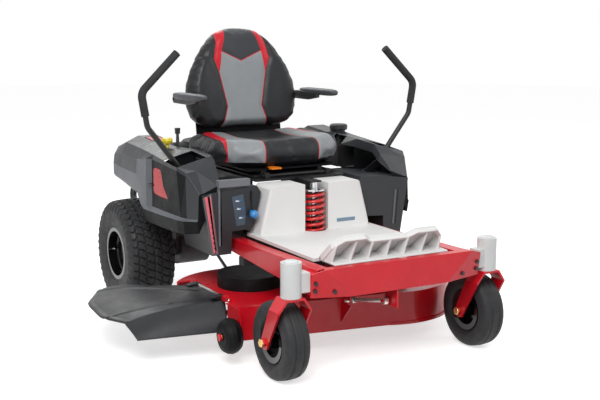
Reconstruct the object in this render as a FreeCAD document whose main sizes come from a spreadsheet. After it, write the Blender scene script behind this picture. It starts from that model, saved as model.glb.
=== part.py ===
import FreeCAD, Part

import math
import os

import Sketcher

# A zero turn mower in millimetres. X runs across the machine with the operator's right at minus X,
# Y runs backwards from the front bumper, and Z is up from the ground. Outlines are drawn from a
# datum at the rear axle on the centre plane, and every piece is then moved by the same shift, so
# that the file's origin lies under the middle of the machine.

SIZES = {
    # running gear
    "wheelbase": 1183,
    "caster_side": 412,
    "caster_trail": 71,
    "caster_tyre_radius": 139.7,
    "caster_tyre_half": 48,
    "caster_rim_radius": 62,
    "rear_side": 483,
    "rear_tyre_radius": 228.6,
    "rear_tyre_half": 101.6,
    "rear_rim_radius": 101.6,
    "running_gap": 0.05,
    "seat_gap": 0.3,
    "kingpin_radius": 12.7,
    "head_radius": 36,
    "head_low": 306,
    "head_top": 427,
    "fork_plate": 8,
    "fork_clear": 9,
    "axle_bolt_radius": 9.5,
    "rear_shaft_radius": 14,
    # frame
    "rail_outer": 320,
    "rail_width": 50,
    "rail_wall": 3,
    "rail_low": 304,
    "rail_back_low": 328,
    "rail_back_top": 381,
    "rail_front_top": 392,
    "rail_back": 377,
    "panel_reach": 123,
    "panel_plate": 5,
    "panel_top": 398,
    "panel_low": 294,
    "panel_top_half": 305,
    "panel_low_half": 202,
    "panel_end": 352,
    "engine_plate": 6,
    "guard_reach": 567,
    "guard_half": 295,
    "guard_top": 600,
    "guard_radius": 16,
    "hitch_radius": 9.65,
    "hitch_plate": 8,
    "link_x": -30,
    "link_front": 62,
    "link_front_z": 243,
    "link_back_y": -1035,
    "link_back_z": 195,
    # engine
    "crank_y": 217,
    "crank_radius": 12.5,
    "engine_radius": 130,
    "engine_top": 560,
    "shroud_radius": 165,
    "screen_radius": 92,
    "muffler_radius": 48,
    # operator platform
    "ride_down": 25,
    "ride_up": 12,
    "floor_half": 262,
    "floor_top": 400,
    "floor_thick": 12,
    "spring_y": -693,
    "coil_radius": 38,
    "coil_wire": 5.5,
    "coil_turns": 7.5,
    "damper_rod_radius": 8,
    "shell_wall": 4,
    "fender_outer": 533,
    "fender_inner": 362,
    "console_front": -665,
    "console_back": -410,
    "pto_x": -440,
    "tank_low": 566,
    "throttle_x": -385,
    # seat
    "seat_hinge_y": -555,
    "seat_hinge_z": 603,
    "pan_low": 598,
    "pan_plate": 6,
    "cushion_half": 300,
    "cushion_top": 735,
    "back_half": 270,
    "back_top": 1180,
    "latch_x": -90,
    "latch_y": -495,
    "latch_pin": 6,
    "armrest_z": 893,
    # control levers
    "lever_side": 369,
    "lever_y": -482,
    "lever_drive_z": 470,
    "lever_swing_z": 568,
    "lever_elbow_x": 622,
    "lever_tube_radius": 11,
    "grip_radius": 15.5,
    # mower deck
    "deck_low": 75,
    "deck_top": 200,
    "deck_wall": 5,
    "spindle_left_x": 250,
    "spindle_left_y": -763,
    "spindle_right_x": -265,
    "spindle_right_y": -653,
    "lobe_radius": 290,
    "blade_radius": 262,
    "spindle_radius": 12,
    "pulley_radius": 60,
    "belt_low": 214,
    "belt_width": 10,
    "hinge_x": -455,
    "hinge_z": 210,
    "hinge_pin_radius": 5,
    "deflector_front": -883,
    "deflector_back": -303,
    "deflector_reach": 862,
    "roller_x": -505,
    "roller_y": -972,
    "roller_z": 111,
    "roller_radius": 65,
}

document = FreeCAD.newDocument("zero_turn_mower")
sheet = document.addObject("Spreadsheet::Sheet", "Sizes")
for row, (alias, amount) in enumerate(SIZES.items(), start=1):
    sheet.set(f"A{row}", alias)
    sheet.set(f"B{row}", str(amount))
    sheet.setAlias(f"B{row}", alias)
document.recompute()


def number(amount):
    return amount.value if isinstance(amount, Size) else float(amount)


def formula(amount):
    if isinstance(amount, Size):
        return amount.formula
    return f"({float(amount)!r})"


class Size:
    """A number together with the sheet formula that gives it."""

    def __init__(self, value, text):
        self.value = float(value)
        self.formula = text

    def join(self, other, sign, value):
        return Size(value, f"({self.formula} {sign} {formula(other)})")

    def __add__(self, other):
        return self.join(other, "+", self.value + number(other))

    def __sub__(self, other):
        return self.join(other, "-", self.value - number(other))

    def __mul__(self, other):
        return self.join(other, "*", self.value * number(other))

    def __truediv__(self, other):
        return self.join(other, "/", self.value / number(other))

    def __radd__(self, other):
        return self + other

    def __rmul__(self, other):
        return self * other

    def __rsub__(self, other):
        return Size(number(other), formula(other)) - self

    def __neg__(self):
        return Size(-self.value, f"(0 - {self.formula})")


class Sheet:
    """Every alias of the sheet, as a Size."""


d = Sheet()
for alias in SIZES:
    setattr(d, alias, Size(sheet.get(alias), f"Sizes.{alias}"))

front = -d.wheelbase
shift_x = (d.deflector_reach - d.lever_elbow_x - d.grip_radius) / 2
shift_y = (d.wheelbase + d.caster_tyre_radius - d.guard_reach) / 2
SIDES = {"right": -1, "left": 1}
pieces = {}


def bind(item, path, amount):
    item.setExpression(path, formula(amount))


def place(item, x=0, y=0, z=0, shifted=True):
    """Put an item at a point of the machine, and a finished piece at the shifted point."""
    across = x + shift_x if shifted else x
    along = y + shift_y if shifted else y
    bind(item, "Placement.Base.x", across)
    bind(item, "Placement.Base.y", along)
    bind(item, "Placement.Base.z", z)


def finish(label, item, x=0, y=0, z=0):
    item.Label = label
    place(item, x, y, z)
    pieces[label] = item
    return item


def new_body(label, x=0, y=0, z=0):
    return finish(label, document.addObject("PartDesign::Body", f"{label}_body"), x, y, z)


def origin_plane(body, role):
    return next(feature for feature in body.Origin.OriginFeatures if feature.Role == role)


def add_sketch(body, plane, at, loops):
    """Draw closed loops on an origin plane: a loop is a list of corners or a (centre, radius) ring."""
    sketch = body.newObject("Sketcher::SketchObject", "outline")
    sketch.AttachmentSupport = [(origin_plane(body, plane), "")]
    sketch.MapMode = "FlatFace"
    bind(sketch, "AttachmentOffset.Base.z", -at if plane == "XZ_Plane" else at)
    for loop in loops:
        if isinstance(loop, tuple):
            draw_ring(sketch, *loop)
        else:
            draw_corners(sketch, loop)
    return sketch


def fix_point(sketch, geometry, position, point):
    for kind, amount in zip(("DistanceX", "DistanceY"), point):
        index = sketch.addConstraint(Sketcher.Constraint(kind, -1, 1, geometry, position, number(amount)))
        if isinstance(amount, Size):
            sketch.setExpression(f"Constraints[{index}]", amount.formula)


def draw_ring(sketch, centre, radius):
    middle = FreeCAD.Vector(number(centre[0]), number(centre[1]), 0)
    circle = sketch.addGeometry(Part.Circle(middle, FreeCAD.Vector(0, 0, 1), number(radius)), False)
    fix_point(sketch, circle, 3, centre)
    index = sketch.addConstraint(Sketcher.Constraint("Radius", circle, number(radius)))
    bind(sketch, f"Constraints[{index}]", radius)


def draw_corners(sketch, corners):
    points = [FreeCAD.Vector(number(u), number(v), 0) for u, v in corners]
    lines = []
    for start, end in zip(points, points[1:] + points[:1]):
        lines.append(sketch.addGeometry(Part.LineSegment(start, end), False))
    for line, following in zip(lines, lines[1:] + lines[:1]):
        sketch.addConstraint(Sketcher.Constraint("Coincident", line, 2, following, 1))
    for line, corner in zip(lines, corners):
        fix_point(sketch, line, 1, corner)


def pad(body, plane, at, length, *loops):
    """Add material from a plane towards the positive axis."""
    feature = body.newObject("PartDesign::Pad", "pad")
    feature.Profile = add_sketch(body, plane, at, loops)
    bind(feature, "Length", length)
    feature.Reversed = plane == "XZ_Plane"
    return feature


def pocket(body, plane, at, length, *loops):
    """Take material away from a plane towards the positive axis."""
    feature = body.newObject("PartDesign::Pocket", "pocket")
    feature.Profile = add_sketch(body, plane, at, loops)
    bind(feature, "Length", length)
    feature.Reversed = plane != "XZ_Plane"
    return feature


def revolve(body, corners, axis="H_Axis"):
    """Turn an outline of the XZ plane about X (H_Axis) or Z (V_Axis)."""
    feature = body.newObject("PartDesign::Revolution", "turned")
    feature.Profile = add_sketch(body, "XZ_Plane", 0, [corners])
    feature.ReferenceAxis = (feature.Profile[0], [axis])
    feature.Angle = 360
    return feature


def dress(body, kind, amount, choose):
    """Round or bevel the edges of the newest feature that choose(edge) picks."""
    document.recompute()
    base = body.Tip
    names = [f"Edge{i}" for i, edge in enumerate(base.Shape.Edges, start=1) if choose(edge)]
    if not names:
        raise ValueError(f"no edge to dress on {body.Label}")
    feature = body.newObject(f"PartDesign::{kind}", kind.lower())
    feature.Base = (base, names)
    bind(feature, "Radius" if kind == "Fillet" else "Size", amount)
    return feature


def along(edge, axis):
    """True for a straight edge that runs along one axis."""
    box = edge.BoundBox
    spans = {"x": box.XLength, "y": box.YLength, "z": box.ZLength}
    length = spans.pop(axis)
    return length > 1 and max(spans.values()) < 1e-3


def block(low, high):
    """A box between two corners."""
    item = document.addObject("Part::Box", "block")
    for path, start, end in zip(("Length", "Width", "Height"), low, high):
        bind(item, path, end - start)
    place(item, *low, shifted=False)
    return item


def rod(centre, radius, length, axis="z"):
    """A cylinder that starts at a point and runs along the positive axis."""
    item = document.addObject("Part::Cylinder", "rod")
    bind(item, "Radius", radius)
    bind(item, "Height", length)
    place(item, *centre, shifted=False)
    turn = {"x": FreeCAD.Rotation(FreeCAD.Vector(0, 1, 0), 90),
            "y": FreeCAD.Rotation(FreeCAD.Vector(1, 0, 0), -90),
            "z": FreeCAD.Rotation()}[axis]
    item.Placement = FreeCAD.Placement(item.Placement.Base, turn)
    return item


def fuse(*items):
    item = document.addObject("Part::MultiFuse", "joined")
    item.Shapes = list(items)
    item.Refine = True
    return item


def cut(base, *tools):
    item = document.addObject("Part::Cut", "cut")
    item.Base = base
    item.Tool = tools[0] if len(tools) == 1 else fuse(*tools)
    return item


def group(*items):
    item = document.addObject("Part::Compound", "group")
    item.Links = list(items)
    return item


def shaped(label, shape):
    """A piece whose shape is worked out in code from the sheet's sizes."""
    item = document.addObject("Part::Feature", f"{label}_shape")
    item.Shape = shape
    return finish(label, item)


def vector(*point):
    return FreeCAD.Vector(*(number(value) for value in point))


def bent_tube(points, bend, radius, bore=0):
    """A round tube along straight runs joined by tangent arcs."""
    corners = [vector(*point) for point in points]
    edges = []
    start = corners[0]
    for before, corner, after in zip(corners, corners[1:], corners[2:]):
        inward = (before - corner).normalize()
        outward = (after - corner).normalize()
        half = inward.getAngle(outward) / 2
        reach = bend / math.tan(half)
        middle = corner + (inward + outward).normalize() * (bend / math.sin(half) - bend)
        first = corner + inward * reach
        last = corner + outward * reach
        edges.append(Part.LineSegment(start, first).toShape())
        edges.append(Part.Arc(first, middle, last).toShape())
        start = last
    edges.append(Part.LineSegment(start, corners[-1]).toShape())
    path = Part.Wire(edges)
    heading = corners[1] - corners[0]
    solid = sweep_ring(path, corners[0], heading, radius)
    if bore:
        solid = solid.cut(sweep_ring(path, corners[0], heading, bore))
    return solid


def sweep_ring(path, start, heading, radius):
    ring = Part.Wire(Part.Circle(start, heading, number(radius)).toShape())
    return path.makePipeShell([ring], True, False)


def span(side, inner, outer):
    """The lower end and the length of a stretch that lies between two distances from the centre."""
    return (inner if side > 0 else -outer), outer - inner


# ---- frame -------------------------------------------------------------------------------------

def frame_rail(name, side):
    """A rectangular tube that runs from the front panel to the rear plate, deeper at the front."""
    body = new_body(f"frame_rail_{name}")
    outline = [
        (front - 90, d.rail_low),
        (front + 176, d.rail_low),
        (front + 565, d.rail_back_low),
        (d.rail_back, d.rail_back_low),
        (d.rail_back, d.rail_back_top),
        (front + 400, d.rail_back_top),
        (front - 90, d.rail_front_top),
    ]
    inside = [
        (front - 91, d.rail_low + d.rail_wall),
        (front + 176, d.rail_low + d.rail_wall),
        (front + 565, d.rail_back_low + d.rail_wall),
        (d.rail_back + 1, d.rail_back_low + d.rail_wall),
        (d.rail_back + 1, d.rail_back_top - d.rail_wall),
        (front + 400, d.rail_back_top - d.rail_wall),
        (front - 91, d.rail_front_top - d.rail_wall),
    ]
    start, length = span(side, d.rail_outer - d.rail_width, d.rail_outer)
    pad(body, "YZ_Plane", start, length, outline)
    pocket(body, "YZ_Plane", start + d.rail_wall, length - 2 * d.rail_wall, inside)
    dress(body, "Fillet", 2, lambda edge: edge.Length > 100)


def wing_depth(x, z):
    """How far back the bent wing of the front panel lies at a point of its face."""
    fold_top = vector(d.panel_top_half, 0, d.panel_top)
    fold_low = vector(d.panel_low_half, 0, d.panel_low)
    corner = vector(d.panel_end, 11, d.panel_top - 13)
    normal = (fold_low - fold_top).cross(corner - fold_top)
    return -(normal.x * (x - fold_top.x) + normal.z * (z - fold_top.z)) / normal.y


def wing_point(side, x, z, forward=0):
    x = number(x)
    z = number(z)
    return vector(side * x, front - d.panel_reach + wing_depth(x, z) - forward, z)


def wing_normal(side):
    """The direction that the wing's front face looks in."""
    origin = wing_point(side, 0, 0)
    outward = (wing_point(side, 100, 0) - origin).cross(wing_point(side, 0, 100) - origin)
    return outward * (-1 if outward.y > 0 else 1)


def prism(corners, direction):
    return Part.Face(Part.makePolygon(corners + corners[:1])).extrude(direction)


def front_panel():
    """The bent front plate: a flat middle, two wings swept back, a top flange and two outriggers."""
    face_y = front - d.panel_reach
    middle = prism([
        vector(-d.panel_top_half, face_y, d.panel_top),
        vector(d.panel_top_half, face_y, d.panel_top),
        vector(d.panel_low_half, face_y, d.panel_low),
        vector(-d.panel_low_half, face_y, d.panel_low),
    ], vector(0, d.panel_plate, 0))
    flange = Part.makeBox(
        number(2 * d.panel_top_half), 32, number(d.panel_plate),
        vector(-d.panel_top_half, face_y, d.panel_top - d.panel_plate))
    shape = middle.fuse(flange)
    end_low = d.panel_low + 6
    for side in SIDES.values():
        wing = prism([
            wing_point(side, d.panel_top_half, d.panel_top),
            wing_point(side, d.panel_low_half, d.panel_low),
            wing_point(side, d.panel_end, end_low),
            wing_point(side, d.panel_end, d.panel_top - 13),
        ], vector(0, d.panel_plate, 0))
        low_x = d.rail_outer if side > 0 else -d.panel_end
        outrigger = Part.makeBox(
            number(d.panel_end - d.rail_outer), 84, 72, vector(low_x, front - 98, 308))
        shape = shape.fuse(wing).fuse(outrigger)
    shaped("front_panel", shape.fuse(link_bracket()).removeSplitter())


def cross_members():
    """The engine plate, the tube under the floor with the spring perch, and the front tube."""
    plate = block(
        (-d.rail_outer, 20, d.rail_back_top), (d.rail_outer, d.rail_back - 1, d.rail_back_top + d.engine_plate))
    crank_hole = rod((0, d.crank_y, d.rail_back_top - 1), 30, 20)
    tube_top = d.rail_low + 17.5
    tube = block((-d.rail_outer, d.spring_y - 20, tube_top - 32), (d.rail_outer, d.spring_y + 20, tube_top))
    post = rod((0, d.spring_y, tube_top - 1), 18, 63)
    cup = rod((0, d.spring_y, tube_top + 61), d.coil_radius + 8, 5)
    damper_rod = rod((0, d.spring_y, tube_top + 65), d.damper_rod_radius, 120)
    perch = fuse(tube, post, cup, damper_rod)
    front_tube = block(
        (-d.rail_outer + d.rail_width, front - 60, d.rail_low + 5),
        (d.rail_outer - d.rail_width, front - 20, d.rail_low + 40))
    finish("cross_members", group(cut(plate, crank_hole), perch, front_tube))


def caster_heads():
    """Two upright sleeves for the caster pins, each with a bracket to the frame."""
    heads = []
    pin_y = front - d.caster_trail
    for side in SIDES.values():
        x = side * d.caster_side
        sleeve = rod((x, pin_y, d.head_low), d.head_radius, d.head_top - d.head_low)
        low_x = d.panel_end if side > 0 else -d.caster_side
        high_x = d.caster_side if side > 0 else -d.panel_end
        bracket = block((low_x, pin_y - 24, d.head_low + 16), (high_x, pin_y + 24, d.head_top - 38))
        bore = rod((x, pin_y, d.head_low - 1), d.kingpin_radius + d.running_gap, d.head_top - d.head_low - 5)
        heads.append(cut(fuse(sleeve, bracket), bore))
    finish("caster_heads", group(*heads))


def hex_head(radius, height, place_at, direction):
    """A hexagon bolt head that stands on a surface."""
    ring = [FreeCAD.Vector(radius * math.cos(math.radians(60 * i)), radius * math.sin(math.radians(60 * i)), 0)
            for i in range(6)]
    head = prism(ring, FreeCAD.Vector(0, 0, height))
    head.Placement = FreeCAD.Placement(place_at, FreeCAD.Rotation(FreeCAD.Vector(0, 0, 1), direction))
    return head


def frame_bolts():
    """Bolt heads on the wings of the front panel and on the engine plate."""
    heads = []
    for side in SIDES.values():
        for x, z in ((338, 352), (338, 326), (268, 318)):
            heads.append(hex_head(8, 6, wing_point(side, x, z), wing_normal(side)))
        for y in (d.crank_y - 130, d.crank_y + 130):
            heads.append(hex_head(
                9, 8, vector(side * 230, y, d.rail_back_top + d.engine_plate), FreeCAD.Vector(0, 0, 1)))
    shaped("frame_bolts", Part.makeCompound(heads))


def engine_block():
    """A vertical shaft engine: crankcase, foot flange and two cylinders that point backwards."""
    foot_z = d.rail_back_top + d.engine_plate
    crankcase = rod((0, d.crank_y, foot_z), d.engine_radius, d.engine_top - foot_z)
    deck = rod((0, d.crank_y, d.engine_top - 25), d.shroud_radius - 3, 4.5)
    parts = [crankcase, deck]
    for side in SIDES.values():
        barrel = document.addObject("Part::Box", "barrel")
        for path, amount in zip(("Length", "Width", "Height"), (110, 235, 120)):
            bind(barrel, path, amount)
        place(barrel, 0, d.crank_y, foot_z + 30, shifted=False)
        turn = FreeCAD.Rotation(FreeCAD.Vector(0, 0, 1), -45 * side)
        offset = turn.multVec(FreeCAD.Vector(-55, 0, 0))
        bind(barrel, "Placement.Base.x", offset.x)
        bind(barrel, "Placement.Base.y", d.crank_y + offset.y)
        barrel.Placement = FreeCAD.Placement(barrel.Placement.Base, turn)
        parts.append(barrel)
    shaft_hole = rod((0, d.crank_y, foot_z - 1), d.crank_radius + d.running_gap, d.engine_top)
    finish("engine_block", cut(fuse(*parts), shaft_hole))


def engine_shroud():
    """The blower housing: a turned cover with a round air inlet on top."""
    body = new_body("engine_shroud", 0, d.crank_y, 0)
    outer = d.shroud_radius
    base = d.engine_top - 20
    top = base + 120
    revolve(body, [
        (outer - d.shell_wall, base), (outer, base), (outer, top - 18), (outer - 16, top),
        (d.screen_radius + 6, top), (d.screen_radius + 6, top - d.shell_wall),
        (outer - 18, top - d.shell_wall), (outer - d.shell_wall, top - 19),
    ], "V_Axis")


def crankshaft():
    """The vertical shaft with the clutch and the deck drive pulley below, and the screen on top."""
    body = new_body("crank_pulley", 0, d.crank_y, 0)
    rim = d.pulley_radius
    low = d.belt_low - 6
    revolve(body, [
        (0, low - 8), (d.crank_radius, low - 8), (d.crank_radius, low), (rim, low), (rim, low + 5),
        (rim - 5, low + 6), (rim - 5, low + 16), (rim, low + 17), (rim, low + 22), (52, low + 24),
        (52, low + 90), (d.crank_radius, low + 90), (d.crank_radius, d.engine_top + 88), (0, d.engine_top + 88),
    ], "V_Axis")
    screen = new_body("fan_screen", 0, d.crank_y, 0)
    base = d.engine_top + 88.3
    revolve(screen, [
        (0, base), (30, base), (d.screen_radius, base + 2), (d.screen_radius, base + 6), (30, base + 8),
        (0, base + 8)], "V_Axis")
    slots = []
    for turn in range(0, 360, 30):
        angle = math.radians(turn)
        for reach in (48, 64, 80):
            slots.append(((reach * math.cos(angle), reach * math.sin(angle)), 5))
    pocket(screen, "XY_Plane", base - 1, 12, *slots)


def muffler():
    """A lying canister behind the engine with a pipe from each cylinder."""
    middle_y = d.crank_y + 258
    middle_z = d.rail_back_top + 82
    can = rod((-165, middle_y, middle_z), d.muffler_radius, 330, "x")
    parts = [can]
    for side in SIDES.values():
        parts.append(rod((side * 140, middle_y - 52.3, middle_z), 14, 40, "y"))
    parts.append(rod((120, middle_y + 30, middle_z - 10), 15, 70, "y"))
    finish("muffler", fuse(*parts))


def transaxles():
    """Two hydrostatic drive units hung under the rails, each with a bore for its wheel shaft."""
    units = []
    for side in SIDES.values():
        z = d.rear_tyre_radius
        case_start, case_length = span(side, 165, 300)
        case = rod((case_start, 0, z), 74, case_length, "x")
        horn_start, horn_length = span(side, 295, 362)
        horn = rod((horn_start, 0, z), 36, horn_length, "x")
        hanger_start, hanger_length = span(side, d.rail_outer - d.rail_width + 4, d.rail_outer - 4)
        hanger = block((hanger_start, -48, z), (hanger_start + hanger_length, 48, d.rail_back_low))
        bore_start, bore_length = span(side, 290, 400)
        bore = rod((bore_start, 0, z), d.rear_shaft_radius + d.running_gap, bore_length, "x")
        units.append(cut(fuse(case, horn, hanger), bore))
    finish("transaxles", group(*units))


def rear_guard():
    """A tube hoop behind the engine on a rear plate that carries the drilled hitch tongue."""
    back = d.rail_back
    half = d.guard_half
    reach = d.guard_reach - d.guard_radius
    hoop = bent_tube([
        (-half, back, 354), (-half, reach - 20, 354), (-half + 60, reach, d.guard_top),
        (half - 60, reach, d.guard_top), (half, reach - 20, 354), (half, back, 354),
    ], 60, d.guard_radius)
    plate = Part.makeBox(number(2 * d.rail_outer), 6, 64, vector(-d.rail_outer, back, 326))
    tongue = Part.makeBox(130, 130, number(d.hitch_plate), vector(-65, back, 330))
    hole = Part.makeCylinder(number(d.hitch_radius), 40, vector(0, back + 100, 320))
    shaped("rear_guard", hoop.fuse(plate).fuse(tongue).cut(hole).removeSplitter())


def deck_link():
    """The fore and aft rod that steadies the deck: an eye on the frame's pin, and a cross pin behind."""
    x = d.link_x
    front_y = front - d.link_front
    front_eye = rod((x - 8, front_y, d.link_front_z), 14, 16, "x")
    rear_eye = rod((x - 8, d.link_back_y, d.link_back_z), 12, 16, "x")
    rear_pin = rod((x - 36, d.link_back_y, d.link_back_z), 6, 42, "x")
    length, slope = link_run()
    shank = rod((x, front_y, d.link_front_z), 7, length, "y")
    shank.Placement = FreeCAD.Placement(
        shank.Placement.Base, FreeCAD.Rotation(FreeCAD.Vector(1, 0, 0), -90 - math.degrees(slope)))
    hole = rod((x - 10, front_y, d.link_front_z), 6 + d.running_gap, 20, "x")
    finish("deck_link", cut(fuse(front_eye, rear_eye, shank, rear_pin), hole))


def link_run():
    """The length of the deck link and how steeply it falls towards the rear."""
    back = number(d.link_back_y - front + d.link_front)
    drop = number(d.link_front_z - d.link_back_z)
    return math.hypot(back, drop), math.atan2(drop, back)


def link_bracket():
    """The lug behind the front panel that holds the deck link's front pin."""
    pin_y = front - d.link_front
    lug_x = d.link_x + 14
    lug = Part.makeBox(6, 76, 80, vector(lug_x, pin_y - 56, d.link_front_z - 16))
    pin = Part.makeCylinder(6, 30, vector(d.link_x - 14, pin_y, d.link_front_z), FreeCAD.Vector(1, 0, 0))
    return lug.fuse(pin)


# ---- casters -----------------------------------------------------------------------------------

def caster_fork(name, side):
    """A bent fork with chamfered shoulders, its kingpin and its axle bolt."""
    body = new_body(f"caster_fork_{name}", side * d.caster_side, front, 0)
    inner = d.caster_tyre_half + d.fork_clear
    outer = inner + d.fork_plate
    top = d.head_low - d.seat_gap
    under = top - d.fork_plate
    axle_z = d.caster_tyre_radius
    pad(body, "XZ_Plane", -d.caster_trail - 40, d.caster_trail + 80, [
        (-outer, axle_z - 30), (-inner, axle_z - 30), (-inner, under - 36), (-inner + 26, under),
        (inner - 26, under), (inner, under - 36), (inner, axle_z - 30), (outer, axle_z - 30),
        (outer, top - 42), (outer - 30, top), (-outer + 30, top), (-outer, top - 42),
    ])
    pocket(body, "YZ_Plane", -outer - 1, 2 * outer + 2,
           [(-200, 60), (200, 60), (200, 400), (-200, 400)],
           [(-d.caster_trail - 34, top + 1), (-d.caster_trail - 30, top - 46), (-24, axle_z - 6),
            (-15, axle_z - 22), (4, axle_z - 26), (20, axle_z - 16), (25, axle_z + 4),
            (-d.caster_trail + 36, top - 40), (-d.caster_trail + 38, top + 1)])
    pad(body, "XY_Plane", top - 1, d.head_top - d.head_low - 10,
        ((0, -d.caster_trail), d.kingpin_radius))
    pad(body, "YZ_Plane", -outer - 9, 2 * outer + 18, ((0, axle_z), d.axle_bolt_radius))
    for start in (-outer - 9, outer):
        ring = [(15 * math.cos(math.radians(60 * i)), axle_z + 15 * math.sin(math.radians(60 * i)))
                for i in range(6)]
        pad(body, "YZ_Plane", start, 9, ring)


def caster_rim(name, side):
    """A steel wheel with a hub tube, a dished web and a drop centre rim."""
    body = new_body(f"caster_rim_{name}", side * d.caster_side, front, d.caster_tyre_radius)
    hole = d.axle_bolt_radius + d.running_gap
    hub = d.caster_tyre_half + d.fork_clear - 1
    seat = d.caster_rim_radius
    revolve(body, [
        (-hub, hole), (hub, hole), (hub, 24), (7, 26), (7, seat - 6), (38, seat - 6), (40, seat + 14),
        (35, seat + 14), (34, seat), (-34, seat), (-35, seat + 14), (-40, seat + 14), (-38, seat - 6),
        (-7, seat - 6), (-7, 26), (-hub, 24),
    ])


def caster_tyre(name, side):
    """A smooth tyre with two round grooves."""
    body = new_body(f"caster_tyre_{name}", side * d.caster_side, front, d.caster_tyre_radius)
    seat = d.caster_rim_radius + d.seat_gap
    half = d.caster_tyre_half
    top = d.caster_tyre_radius
    revolve(body, [
        (-33.5, seat), (33.5, seat), (34.7, seat + 15), (half - 6, seat + 18), (half, top - 40),
        (half - 1, top - 22), (half - 8, top - 8), (half - 20, top - 2), (0, top), (-half + 20, top - 2),
        (-half + 8, top - 8), (-half + 1, top - 22), (-half, top - 40), (-half + 6, seat + 18),
        (-34.7, seat + 15),
    ])


# ---- rear wheels -------------------------------------------------------------------------------

def rear_rim(name, side):
    """A deep steel wheel on its drive shaft, with five wheel bolts."""
    body = new_body(f"rear_rim_{name}", side * d.rear_side, 0, d.rear_tyre_radius)
    seat = d.rear_rim_radius - d.seat_gap
    shaft = -side * (d.rear_side - 292)
    corners = [
        (shaft, 0), (shaft, d.rear_shaft_radius), (-side * 24, d.rear_shaft_radius),
        (-side * 24, seat - 6), (-side * 90, seat - 6), (-side * 90, seat + 19), (-side * 85, seat + 19),
        (-side * 84, seat), (side * 84, seat), (side * 85, seat + 19), (side * 90, seat + 19),
        (side * 90, seat - 6), (-side * 16, seat - 6), (-side * 14, 46), (side * 4, 40), (side * 4, 0),
    ]
    revolve(body, corners)
    for i in range(5):
        angle = math.radians(72 * i)
        start, length = (-16, 24) if side > 0 else (-8, 24)
        pad(body, "YZ_Plane", start, length, ((68 * math.cos(angle), 68 * math.sin(angle)), 9))


def rear_tyre(name, side):
    """A wide drive tyre."""
    body = new_body(f"rear_tyre_{name}", side * d.rear_side, 0, d.rear_tyre_radius)
    seat = d.rear_rim_radius
    half = d.rear_tyre_half
    top = d.rear_tyre_radius
    revolve(body, [
        (-83.5, seat), (83.5, seat), (84.7, seat + 20), (half - 8, seat + 24), (half, top - 62),
        (half - 1, top - 38), (half - 8, top - 16), (half - 24, top - 5), (0, top), (-half + 24, top - 5),
        (-half + 8, top - 16), (-half + 1, top - 38), (-half, top - 62), (-half + 8, seat + 24),
        (-84.7, seat + 20),
    ])


# ---- operator platform -------------------------------------------------------------------------

def floor_pan():
    """The foot floor, with a hole where the suspension spring passes through."""
    body = new_body("floor_pan")
    half = d.floor_half
    back = d.spring_y + 70
    low = d.floor_top - d.floor_thick
    pad(body, "XY_Plane", low, d.floor_thick,
        [(-half, front + 40), (half, front + 40), (half, back), (-half, back)])
    pocket(body, "XY_Plane", low - 1, d.floor_thick + 2, ((0, d.spring_y), d.coil_radius + 11))
    dress(body, "Fillet", 6, lambda edge: along(edge, "z"))


def footrest():
    """The sloping foot plate above the front panel: a stepped top edge and ribs on its underside."""
    body = new_body("footrest")
    half = d.floor_half - 17
    low = d.floor_top - 12
    pad(body, "YZ_Plane", -half, 2 * half, [
        (front + 39.7, low + 2), (front + 39.7, d.floor_top), (front - 44, d.floor_top + 90),
        (front - 62, d.floor_top + 90), (front - 66, d.floor_top + 66), (front + 12, low + 2),
    ])
    crest = d.floor_top + 91
    pocket(body, "XZ_Plane", front - 90, 200,
           [(-half - 1, d.floor_top + 10), (-half + 14, d.floor_top + 62), (-half + 52, d.floor_top + 90),
            (-half + 52, crest), (-half - 1, crest)],
           [(half + 1, d.floor_top + 10), (half + 1, crest), (half - 52, crest),
            (half - 52, d.floor_top + 90), (half - 14, d.floor_top + 62)],
           [(-108, crest), (-80, d.floor_top + 74), (80, d.floor_top + 74), (108, crest)])
    bays = 6
    rib = 12
    step = (2 * half - rib) / bays
    for i in range(bays):
        start = -half + rib + i * step
        pocket(body, "YZ_Plane", start, step - rib, [
            (front + 20, low + 1), (front + 26, d.floor_top - 2), (front - 46, d.floor_top + 63),
            (front - 70, d.floor_top + 60), (front - 72, d.floor_top + 50), (front - 6, low + 1)])


def front_shroud():
    """The moulded cover in front of the seat base, open in the middle for the spring."""
    body = new_body("front_shroud")
    face = d.spring_y - 22
    depth = 132
    low = d.floor_top
    top = d.floor_top + 184
    base_half = 246
    top_half = 203
    wall = d.shell_wall
    pad(body, "XZ_Plane", face, depth, [
        (-base_half, low), (base_half, low), (base_half - 4, low + 24), (top_half, top - 10),
        (top_half - 12, top), (-top_half + 12, top), (-top_half, top - 10), (-base_half + 4, low + 24)])
    pocket(body, "XZ_Plane", face + wall, depth, [
        (-base_half + wall, low - 1), (base_half - wall, low - 1), (base_half - wall - 4, low + 24),
        (top_half - wall, top - 12), (top_half - 14, top - wall), (-top_half + 14, top - wall),
        (-top_half + wall, top - 12), (-base_half + wall + 4, low + 24)])
    gap = d.coil_radius + 14
    pocket(body, "XZ_Plane", face - 1, depth + 2,
           [(-gap, low - 1), (gap, low - 1), (gap, top + 1), (-gap, top + 1)])
    for side in SIDES.values():
        start = gap if side > 0 else -gap - wall
        pad(body, "YZ_Plane", start, wall, [
            (face, low), (face + depth, low), (face + depth, top - wall), (face, top - wall)])
    dress(body, "Fillet", 12, lambda edge: edge.Length > 100 and abs(edge.BoundBox.YLength) < 1e-3
          and edge.BoundBox.ZLength > 90 and abs(edge.BoundBox.YMin - number(face)) < 1e-3
          and edge.BoundBox.XLength > 1)


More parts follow.
